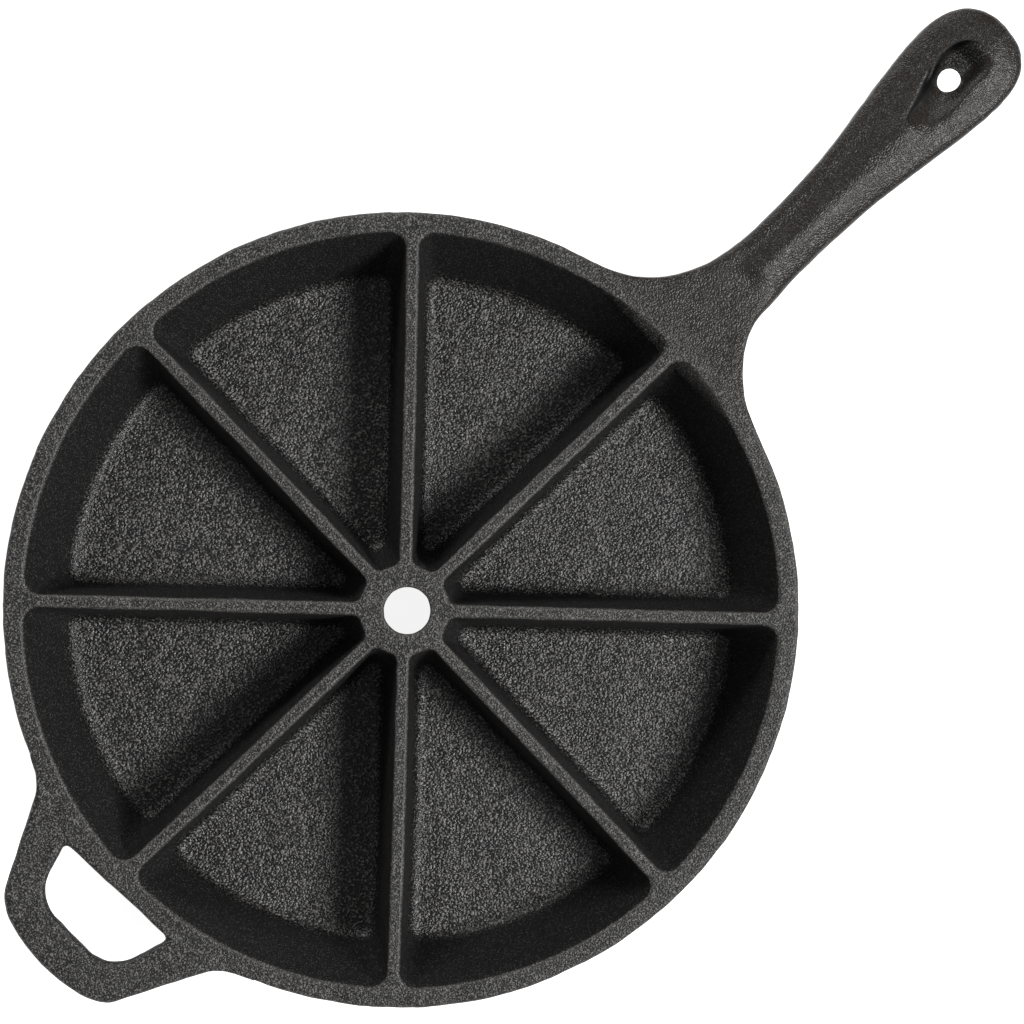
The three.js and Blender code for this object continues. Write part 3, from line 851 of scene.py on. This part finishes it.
def helper_rings():
    outer, inner = outer_side(), finger_side()
    outer = np.concatenate((outer, mirrored(outer)[1:-1]))
    inner = np.concatenate((inner, mirrored(inner)[1:-1]))
    outer[:, 1] += HELPER_OFFSET - HELPER_SKEW * np.maximum(outer[:, 0] - RIM_RADIUS, 0)
    inner[:, 0] += FINGER_SLANT * inner[:, 1] * (FINGER_FAR - inner[:, 0]) / (FINGER_FAR - FINGER_TOP)
    inner[:, 1] += FINGER_OFFSET
    rings = []
    for far, near in zip(outer, inner):
        half = np.linalg.norm(far - near) / 2
        across = (far - near) / (2 * half)
        section = flat_section(half, HELPER_THICKNESS / 2, HELPER_ROUND)
        x, y = ((far + near) / 2 + section[:, :1] * across).T
        z = PAN_HEIGHT - HELPER_THICKNESS / 2 + section[:, 1]
        from_wall = np.hypot(x, y) - (RIM_RADIUS - HELPER_THICKNESS * WALL_LEAN)
        fillet = ROOT_FILLET * np.clip(1 - from_wall / (2 * ROOT_FILLET), 0, 1) ** 2
        rings.append(np.column_stack((-x, y, z - np.where(section[:, 1] < 0, fillet, union_sink(x, y)))))
    return rings


helper = closed_loft("helper", helper_rings(), looped=True)
print("faces in the helper handle:", len(helper.data.polygons))

# %% [markdown]
# ## One casting
#
# A union joins the three solids, and their flat tops merge in one plane. What the pattern leaves open is
# then taken away: a groove under each divider, which keeps the metal of even thickness so that it cools
# evenly, and the hole for hanging.

# %% Union and difference


def combine(tool, operation):
    modifier = casting.modifiers.new(operation, "BOOLEAN")
    modifier.operation = operation
    modifier.solver = "EXACT"
    modifier.object = tool
    settle(casting)
    bpy.data.objects.remove(tool)
    print(operation, "leaves", len(casting.data.polygons), "faces")


combine(handle, "UNION")
combine(helper, "UNION")

# %% Grooves under the dividers
GROOVE_HALF = 2.2
GROOVE_TAPER = 1.0
GROOVE_HEIGHT = 7.0
GROOVE_ROUND = 0.7
GROOVE_CROWN = (1.2, 0.5)
GROOVE_BELOW = -2.0
GROOVE_START = 8.0
GROOVE_RUNOUT = 3.0
GROOVE_RINGS = 30
RUNOUT_ANGLES = (0.5, 0.9, 1.2)
MOUTH_TURN = ((0.5, 0.87), (0.87, 0.5), (1, 0))
GROOVE_END = POCKET_RADIUS - POCKET_DEPTH * WALL_LEAN - FLOOR_FILLET


def groove_ring(x, share):
    half, height = GROOVE_HALF * share, GROOVE_HEIGHT * share
    mouth = half + GROOVE_ROUND
    crown = half - GROOVE_TAPER * share
    side = [(mouth, GROOVE_BELOW), (mouth, 0)]
    side += [(mouth - GROOVE_ROUND * out, GROOVE_ROUND * (1 - up)) for out, up in MOUTH_TURN]
    side += [(crown, height - GROOVE_CROWN[0] * share), (crown - GROOVE_CROWN[1] * share, height)]
    side = np.array(side)
    across = np.concatenate((side, (side * (-1, 1))[::-1]))
    return np.column_stack((np.full(len(across), x), across))


runout = GROOVE_END - GROOVE_RUNOUT
groove_rings = [groove_ring(x, 1) for x in np.linspace(GROOVE_START, runout, GROOVE_RINGS)]
groove_rings += [groove_ring(runout + GROOVE_RUNOUT * math.sin(a), math.cos(a)) for a in RUNOUT_ANGLES]
grooves = closed_loft("grooves", groove_rings)
repeat_around(grooves, PATTERN_TURN)
lay_pattern(grooves)
combine(grooves, "DIFFERENCE")

# %% The hanging hole
# It is narrowest where it meets the recess, and it opens downwards as the sand core that left it did. Each
# row says by how much it is wider than at the recess, and how far it lies from the underside or the bed.
HOLE_AT = GRIP_WIDE_AT - 4.4
HOLE_LONG = 3.6
HOLE_WIDE = 3.0
HOLE_SIDE = EYE_WANDER - 0.16
HOLE_STEPS = 48
HOLE_BELOW = ((2.2, -2), (2.2, 0), (1.5, 0.5), (1.1, 1.6))
HOLE_ABOVE = ((0.7, -2.2), (0.4, -0.9), (0.15, 0), (0, 1), (0, 6))
EYE_BED = PAN_HEIGHT + EYE_RISE - EYE_DEPTH


def hole_ring(growth, z):
    angle = np.linspace(0, 2 * math.pi, HOLE_STEPS + 1)[:-1]
    x = HOLE_AT + (HOLE_LONG + growth) * np.cos(angle)
    y = HOLE_SIDE + (HOLE_WIDE + growth) * np.sin(angle)
    return at_height(np.column_stack((x, y)), z)


hole_rings = [hole_ring(growth, GRIP_UNDER + up) for growth, up in HOLE_BELOW]
hole_rings += [hole_ring(growth, EYE_BED + up) for growth, up in HOLE_ABOVE]
combine(closed_loft("hanging_hole", hole_rings), "DIFFERENCE")

# %% [markdown]
# ## Unevenness from the sand
#
# A sand mould gives no true planes: every face is a little hollow here and full there, and every edge
# wanders by a fraction of a millimetre. Sculpting would do it, but noise fields in a Geometry Nodes tree
# do it evenly everywhere. The skin moves in and out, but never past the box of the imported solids, so the pan
# keeps its outer sizes, and the feet stay, so the pan stands flat.

# %% The tree that roughens the skin
sand_tree = new_tree("Uneven sand casting", (
    ("Geometry", "NodeSocketGeometry"),
    ("Swell Depth", "NodeSocketFloat"),
    ("Swell Size", "NodeSocketFloat"),
    ("Pit Depth", "NodeSocketFloat"),
    ("Pit Size", "NodeSocketFloat"),
    ("Seed", "NodeSocketFloat"),
    ("Foot Height", "NodeSocketFloat"),
    ("Low Corner", "NodeSocketVector"),
    ("High Corner", "NodeSocketVector"),
    ("Material", "NodeSocketMaterial"),
))
given = add_node(sand_tree, "NodeGroupInput").outputs
place = add_node(sand_tree, "GeometryNodeInputPosition").outputs[0]
outward = add_node(sand_tree, "GeometryNodeInputNormal").outputs[0]
NOISE_SPAN = (0.3, 0.7)
depths = []
for kind in ("Swell", "Pit"):
    scale = add_node(sand_tree, MATH, {0: 1.0, 1: given[kind + " Size"]}, operation="DIVIDE")
    noise = add_node(sand_tree, NOISE, {
        "Vector": place, "W": given["Seed"], "Scale": scale.outputs[0], "Detail": 2.0, "Roughness": 0.55},
        noise_dimensions="4D")
    share = add_node(sand_tree, RANGE, {
        "Value": noise.outputs[0], "From Min": NOISE_SPAN[0], "From Max": NOISE_SPAN[1],
        "To Min": 0.5, "To Max": -0.5})
    depths.append(add_node(sand_tree, MATH, {
        0: share.outputs[0], 1: given[kind + " Depth"]}, operation="MULTIPLY").outputs[0])
inward = add_node(sand_tree, MATH, {0: depths[0], 1: depths[1]}, operation="ADD")
shift = add_node(sand_tree, "ShaderNodeVectorMath", {
    0: outward, "Scale": inward.outputs[0]}, operation="SCALE")
height = add_node(sand_tree, "ShaderNodeSeparateXYZ", {0: place}).outputs["Z"]
above_feet = add_node(sand_tree, MATH, {
    0: height, 1: given["Foot Height"]}, operation="GREATER_THAN")
moved = add_node(sand_tree, "GeometryNodeSetPosition", {
    "Geometry": given["Geometry"], "Selection": above_feet.outputs[0], "Offset": shift.outputs[0]})
capped = add_node(sand_tree, "ShaderNodeVectorMath", {0: place, 1: given["High Corner"]}, operation="MINIMUM")
capped = add_node(sand_tree, "ShaderNodeVectorMath", {
    0: capped.outputs[0], 1: given["Low Corner"]}, operation="MAXIMUM")
kept = add_node(sand_tree, "GeometryNodeSetPosition", {
    "Geometry": moved.outputs[0], "Position": capped.outputs[0]})
real = add_node(sand_tree, "GeometryNodeRealizeInstances", {"Geometry": kept.outputs[0]})
finish = add_node(sand_tree, "GeometryNodeSetMaterial", {
    "Geometry": real.outputs[0], "Material": given["Material"]})
add_node(sand_tree, "NodeGroupOutput", {"Geometry": finish.outputs[0]})

pan_axis = Vector((PAN_X * MM, 0, 0))
run_tree(casting, sand_tree, {
    "Swell Depth": 0.34 * MM, "Swell Size": 14 * MM, "Pit Depth": 0.22 * MM, "Pit Size": 3.6 * MM,
    "Seed": 3.0, "Foot Height": 0.3 * MM, "Material": iron,
    "Low Corner": Vector(CAD_BOX[0]) - pan_axis, "High Corner": Vector(CAD_BOX[1]) - pan_axis})
print("points in the casting:", len(casting.data.vertices))

# %% Clean skin, put where the frame has the pan
WELD = 0.004 * MM
SHARP_ANGLE = math.radians(50)


def clean_skin(piece):
    skin = bmesh.new()
    skin.from_mesh(piece.data)
    bmesh.ops.remove_doubles(skin, verts=skin.verts, dist=WELD)
    bmesh.ops.dissolve_degenerate(skin, edges=skin.edges, dist=WELD)
    bmesh.ops.delete(skin, geom=[edge for edge in skin.edges if edge.is_wire], context="EDGES")
    bmesh.ops.triangulate(skin, faces=[face for face in skin.faces if len(face.verts) > 4])
    bmesh.ops.recalc_face_normals(skin, faces=skin.faces)
    bmesh.ops.translate(skin, verts=skin.verts, vec=(PAN_X * MM, 0, 0))
    open_edges = sum(1 for edge in skin.edges if len(edge.link_faces) != 2)
    for face in skin.faces:
        face.material_index = 0
        face.smooth = True
    skin.to_mesh(piece.data)
    skin.free()
    piece.data.materials.clear()
    piece.data.materials.append(iron)
    return open_edges


open_edges = clean_skin(casting)
casting.data.set_sharp_from_angle(angle=SHARP_ANGLE)
triangles = sum(len(face.vertices) - 2 for face in casting.data.polygons)
print("open edges:", open_edges, "triangles:", triangles)

# %% [markdown]
# ## Seasoned cast iron
#
# The metal is grey iron cast in sand and baked with oil until a thin dark film covers it. The film is nearly
# black, and what the eye sees is mostly the gloss of its grains: a face that looks at the lamp glitters, and
# a steep one stays dark. The floors keep the coarse grain of the sand, the sides are smoother, and the handle
# is warmer in tone. Light and shade are also painted into the colour: the grain tops are painted light as
# glints and the pits between them dark, the edges are lighter as wear and as a painted highlight, the upright
# sides get a lighter film, and the steep side of the handle's recess is painted dark as shade. This could be
# painted by hand. Here it is worked out from place and slope and written into the mesh as attributes, so the
# pattern stays on the metal from every side.

# %% Floors and upright sides, from height and slope
POCKET_MARGIN = 0.6
FLOOR_HEIGHTS = (3, 9)
FLOOR_SLOPE = (0.45, 0.8)
UPRIGHT_SLOPE = (0.35, 0.7)


def write_attribute(name, values):
    attribute = casting.data.attributes.new(name, "FLOAT", "POINT")
    attribute.data.foreach_set("value", np.asarray(values, dtype=np.float32))


place = read_points(casting, "co") / MM - (PAN_X, 0, 0)
normal = read_points(casting, "normal")
along_x, height = place[:, 0], place[:, 2]
in_pocket = (np.hypot(along_x, place[:, 1]) < POCKET_RADIUS + POCKET_MARGIN) & (height > FLOOR_HEIGHTS[0])
floor = smooth_step(*FLOOR_SLOPE, normal[:, 2]) * in_pocket * (height < FLOOR_HEIGHTS[1])
write_attribute("pocket_floor", floor)
write_attribute("upright", 1 - smooth_step(*UPRIGHT_SLOPE, np.abs(normal[:, 2])))
print("points on the floors:", int((floor > 0.5).sum()))

# %% The handle, and the painted shade on the steep side of its recess
RECESS_SHADE_LIP = (-0.05, 0.1)
RECESS_SHADE_FOOT = (1.0, 1.35)
BED_FOOT = (0.9, 1.2)
BED_SIDE = (1, 3)
BED_START = (HOLE_AT, HOLE_AT + 4)
HANDLED = (RIM_RADIUS - 10, RIM_RADIUS + 4)
FACING_UP = 0.05
from_axis = place[:, 1] - wander(along_x)
down_wall = (eye_lip(along_x) - from_axis) / eye_wall(along_x)
in_eye = (along_x > EYE_START) & (along_x < EYE_END) & (normal[:, 2] > FACING_UP)
# Painted shade: the steep side of the recess gets a darker colour, with less relief and a rougher gloss.
recess_shade = smooth_step(*RECESS_SHADE_LIP, down_wall) * (1 - smooth_step(*RECESS_SHADE_FOOT, down_wall)) * in_eye
write_attribute("recess_shade", recess_shade)
in_bed = smooth_step(*BED_FOOT, down_wall) * smooth_step(*BED_START, along_x) * in_eye
in_bed *= 1 - smooth_step(*BED_SIDE, -from_axis)
write_attribute("handled", smooth_step(*HANDLED, along_x) * (1 - in_bed))
print("points under pooled oil:", int((recess_shade > 0.5).sum()))

# %% Worn edges, lightened both as wear and as a painted highlight, from how sharply the skin bends
EDGE_BEND = (0.1, 0.6)
SHORTEST = 1e-4
ends = np.empty(len(casting.data.edges) * 2, dtype=np.int32)
casting.data.edges.foreach_get("vertices", ends)
ends = ends.reshape(-1, 2)
along = place[ends[:, 1]] - place[ends[:, 0]]
turning = ((normal[ends[:, 1]] - normal[ends[:, 0]]) * along).sum(axis=1)
turning /= np.maximum((along ** 2).sum(axis=1), SHORTEST)
bending = np.zeros(len(place))
meetings = np.zeros(len(place))
for column in (0, 1):
    np.add.at(bending, ends[:, column], turning)
    np.add.at(meetings, ends[:, column], 1)
wear_and_highlight = smooth_step(*EDGE_BEND, bending / np.maximum(meetings, 1))
write_attribute("edge_wear_and_highlight", wear_and_highlight)
print("points on worn edges:", int((wear_and_highlight > 0.5).sum()))

# %% Colours


def linear(hex_colour):
    parts = [int(hex_colour[i:i + 2], 16) / 255 for i in (1, 3, 5)]
    return (*[p / 12.92 if p <= 0.04045 else ((p + 0.055) / 1.055) ** 2.4 for p in parts], 1.0)


OIL_FILM = linear("#0a0a0b")
THIN_FILM = linear("#131313")
# Painted light: the upright sides get a lighter film, to lift how bright they look.
WALL_PAINTED_LIGHT = linear("#131314")
WARM_FILM = linear("#1e1710")
# Painted shade for the steep side of the handle's recess.
RECESS_SHADE_COLOUR = linear("#060606")
# Painted glint: the light grey of the grain tops; the lightened edges use it too, as wear and painted
# highlight.
GLINT_AND_WEAR_GREY = linear("#6e6c69")
print("a bare grain, linear:", [round(part, 3) for part in GLINT_AND_WEAR_GREY[:3]])

# %% Seasoned cast iron, sand cast and oiled: nearly black, with a soft broken sheen on every grain
# Real moulding sand is 0.2 to 0.3 mm. At this distance that is finer than a pixel, so it is drawn coarser.
FLOOR_GRAIN = 0.6 * MM
FACE_GRAIN = 0.45 * MM
MOTTLE = 9 * MM
iron.use_nodes = True
tree = iron.node_tree
tree.nodes.clear()
where = add_node(tree, "ShaderNodeTexCoord").outputs["Object"]
floor, upright, handled, recess_shade, wear_and_highlight = (
    add_node(tree, "ShaderNodeAttribute", attribute_name=name).outputs["Fac"]
    for name in ("pocket_floor", "upright", "handled", "recess_shade", "edge_wear_and_highlight"))
open_sand, fine_sand = (
    add_node(tree, NOISE, {"Vector": where, "Scale": 1 / size, "Detail": 0.0}).outputs[0]
    for size in (FLOOR_GRAIN, FACE_GRAIN))
grain = add_node(tree, MIX, {"Factor": floor, "A": fine_sand, "B": open_sand}, data_type="FLOAT").outputs[0]
mottle = add_node(tree, NOISE, {
    "Vector": where, "Scale": 1 / MOTTLE, "Detail": 4.0, "Roughness": 0.6}).outputs[0]
print("grains in a centimetre of floor:", round(10 * MM / FLOOR_GRAIN))

# %% Its grains of sand: how high the skin stands, and how much of it is painted light as a glint
# A power leaves only the tops of the tallest grains light, as painted glints, and the pits between them dark,
# as painted shade. On the upright sides these glints are fewer and lower, and on the handle only few are
# painted.
FACE_POWER, WALL_POWER = 3.5, 7.0
FACE_GLINT, FLOOR_GLINT = 1.02, 1.0
WALL_CALM = 0.6
HANDLE_GLINT = 0.15
EDGE_WEAR_AND_HIGHLIGHT = 0.24
GRAIN_SPAN = (0.25, 0.75)
height = add_node(tree, RANGE, {
    "Value": grain, "From Min": GRAIN_SPAN[0], "From Max": GRAIN_SPAN[1]}).outputs[0]
power, open_face, calm, handle_glint_share = (
    add_node(tree, RANGE, {"Value": value, "To Min": elsewhere, "To Max": there}).outputs[0]
    for value, elsewhere, there in (
        (upright, FACE_POWER, WALL_POWER), (floor, FACE_GLINT, FLOOR_GLINT),
        (upright, 1.0, WALL_CALM), (handled, 1.0, HANDLE_GLINT)))
tops = add_node(tree, MATH, {0: height, 1: power}, operation="POWER").outputs[0]
wear_and_glint = open_face
for share in (calm, handle_glint_share, tops):
    wear_and_glint = add_node(tree, MATH, {0: wear_and_glint, 1: share}, operation="MULTIPLY").outputs[0]
# The edges are lightened: partly wear, partly a painted highlight on their rounding.
edge_lightening = add_node(tree, MATH, {0: wear_and_highlight, 1: EDGE_WEAR_AND_HIGHLIGHT}, operation="MULTIPLY").outputs[0]
wear_and_glint = add_node(tree, MATH, {0: wear_and_glint, 1: edge_lightening}, operation="ADD").outputs[0]
print("nodes so far:", len(tree.nodes))

# %% Its colour, film over film
WARM_SHARE = 0.7
PATCH_SPAN = (0.35, 0.65)
patches = add_node(tree, RANGE, {
    "Value": mottle, "From Min": PATCH_SPAN[0], "From Max": PATCH_SPAN[1]}).outputs[0]
warm = add_node(tree, MATH, {0: handled, 1: WARM_SHARE}, operation="MULTIPLY").outputs[0]
# Painted light in these layers: the lighter film on upright sides, the light grain tops and edges, and the
# dark recess wall.
films = (
    (patches, THIN_FILM), (upright, WALL_PAINTED_LIGHT), (warm, WARM_FILM), (wear_and_glint, GLINT_AND_WEAR_GREY), (recess_shade, RECESS_SHADE_COLOUR))
colour = OIL_FILM
for share, film in films:
    colour = add_node(tree, MIX, {
        "Factor": share, "A": colour, "B": film}, data_type="RGBA").outputs["Result"]
print("layers over the first film:", len(films))

# %% Its relief and sheen
RELIEF_DEPTH = 0.15 * MM
FACE_RELIEF, RECESS_WALL_RELIEF = 0.6, 0.1
FACE_ROUGHNESS, FLOOR_ROUGHNESS = 0.45, 0.34
WALL_ROUGHNESS = 0.7
HANDLE_ROUGHNESS = 0.36
RECESS_WALL_ROUGHNESS = 0.46
ROUGHNESS_SPREAD = 0.06
SPECULAR = 0.4
relief_share, recess_relief, rough, uneven = (
    add_node(tree, RANGE, {"Value": value, "To Min": elsewhere, "To Max": there}).outputs[0]
    for value, elsewhere, there in (
        (floor, FACE_RELIEF, 1.0), (recess_shade, 1.0, RECESS_WALL_RELIEF), (floor, FACE_ROUGHNESS, FLOOR_ROUGHNESS),
        (mottle, -ROUGHNESS_SPREAD, ROUGHNESS_SPREAD)))
for less in (calm, recess_relief):
    relief_share = add_node(tree, MATH, {0: relief_share, 1: less}, operation="MULTIPLY").outputs[0]
relief = add_node(tree, "ShaderNodeBump", {
    "Strength": relief_share, "Distance": RELIEF_DEPTH, "Height": height}).outputs[0]
for share, there in ((upright, WALL_ROUGHNESS), (handled, HANDLE_ROUGHNESS), (recess_shade, RECESS_WALL_ROUGHNESS)):
    rough = add_node(tree, MIX, {"Factor": share, "A": rough, "B": there}, data_type="FLOAT").outputs[0]
sheen = add_node(tree, MATH, {0: rough, 1: uneven}, operation="ADD").outputs[0]
shader = add_node(tree, "ShaderNodeBsdfPrincipled", {
    "Base Color": colour, "Metallic": 0.0, "Roughness": sheen, "Specular IOR Level": SPECULAR,
    "Normal": relief})
add_node(tree, "ShaderNodeOutputMaterial", {"Surface": shader.outputs[0]})
print("nodes in the iron:", len(tree.nodes))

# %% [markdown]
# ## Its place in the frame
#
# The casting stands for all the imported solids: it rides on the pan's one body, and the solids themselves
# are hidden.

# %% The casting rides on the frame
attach(casting, "root")
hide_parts(*sorted(frame["nodes"]))

# %% [markdown]
# ## Floor, light and camera
#
# The pan stands on white paper. Most of the light comes from a wide soft lamp, some 30 degrees off overhead
# and to the right of the view, so that flat faces are light and the dividers throw soft shadows to the left.
# A weak lamp low on the other side and the pale room keep the shadows open. The camera looks down from above
# with the handle towards the upper right corner.

# %% White paper
# It lies a hair below the feet, so that it shares no plane with them.
FLOOR_SIZE = 6.0
FLOOR_Z = -0.1 * MM
PAPER_WHITE = linear("#ededed")
PAPER_LIFT = 0.88
paper_mesh = bpy.data.meshes.new("paper")
half = FLOOR_SIZE / 2
corners = [(-half, -half), (half, -half), (half, half), (-half, half)]
paper_mesh.from_pydata([(x, y, FLOOR_Z) for x, y in corners], [], [(0, 1, 2, 3)])
paper = bpy.data.objects.new("paper", paper_mesh)
bpy.context.scene.collection.objects.link(paper)
white = bpy.data.materials.new("white_paper")
white.use_nodes = True
tree = white.node_tree
tree.nodes.clear()
ray = add_node(tree, "ShaderNodeLightPath").outputs
seen = ray["Is Camera Ray"]
for kind in ("Is Glossy Ray", "Is Transmission Ray"):
    seen = add_node(tree, MATH, {0: seen, 1: ray[kind]}, operation="MAXIMUM").outputs[0]
lift = add_node(tree, MATH, {0: seen, 1: PAPER_LIFT}, operation="MULTIPLY").outputs[0]
matt = add_node(tree, "ShaderNodeBsdfDiffuse", {"Color": PAPER_WHITE})
glow = add_node(tree, "ShaderNodeEmission", {"Strength": lift})
both = add_node(tree, "ShaderNodeAddShader", {0: matt.outputs[0], 1: glow.outputs[0]})
add_node(tree, "ShaderNodeOutputMaterial", {"Surface": both.outputs[0]})
paper_mesh.materials.append(white)
print(f"paper {FLOOR_SIZE:.0f} m square")

# %% The camera
CAMERA_ABOVE = 1100
CAMERA_PLACE = np.array((-49.3, 37.8, PAN_HEIGHT + CAMERA_ABOVE)) * MM
CAMERA_ROLL = math.radians(-43.86)
CAMERA_TILT = (math.radians(0.06), math.radians(-3.01))
FOCAL_PIXELS = 3831.0
IMAGE_PIXELS = 1024
SENSOR_WIDTH = 36.0
camera_data = bpy.data.cameras.new("camera")
camera_data.sensor_width = SENSOR_WIDTH
camera_data.lens = SENSOR_WIDTH * FOCAL_PIXELS / IMAGE_PIXELS
camera = bpy.data.objects.new("camera", camera_data)
bpy.context.scene.collection.objects.link(camera)
camera.rotation_mode = "YXZ"
camera.location = CAMERA_PLACE
camera.rotation_euler = (CAMERA_TILT[0], CAMERA_TILT[1], CAMERA_ROLL)
bpy.context.scene.camera = camera
print(f"lens {camera_data.lens:.0f} mm")

# %% The lamps and the room
ROOM_COLOUR = linear("#f4f4f6")
ROOM_LIGHT = 0.25


def soft_lamp(name, right, up, height, size, power):
    """A square lamp that points at the pan; right and up are metres across the picture."""
    cos, sin = math.cos(CAMERA_ROLL), math.sin(CAMERA_ROLL)
    place = (cos * right - sin * up + PAN_X * MM, sin * right + cos * up, height)
    lamp_data = bpy.data.lights.new(name, "AREA")
    lamp_data.shape = "SQUARE"
    lamp_data.size = size
    lamp_data.energy = power
    lamp = bpy.data.objects.new(name, lamp_data)
    bpy.context.scene.collection.objects.link(lamp)
    lamp.location = place
    aim = pan_axis - lamp.location
    lamp.rotation_euler = aim.to_track_quat("-Z", "Y").to_euler()


soft_lamp("soft_key", right=1.93, up=-0.48, height=3.4, size=1.0, power=122)
soft_lamp("soft_fill", right=-0.9, up=2.6, height=1.7, size=1.2, power=32)

world = bpy.data.worlds.new("room")
bpy.context.scene.world = world
world.use_nodes = True
room = world.node_tree.nodes["Background"].inputs
room["Color"].default_value = ROOM_COLOUR
room["Strength"].default_value = ROOM_LIGHT
bpy.context.scene.view_settings.view_transform = "Standard"
print("lamps:", len(bpy.data.lights))
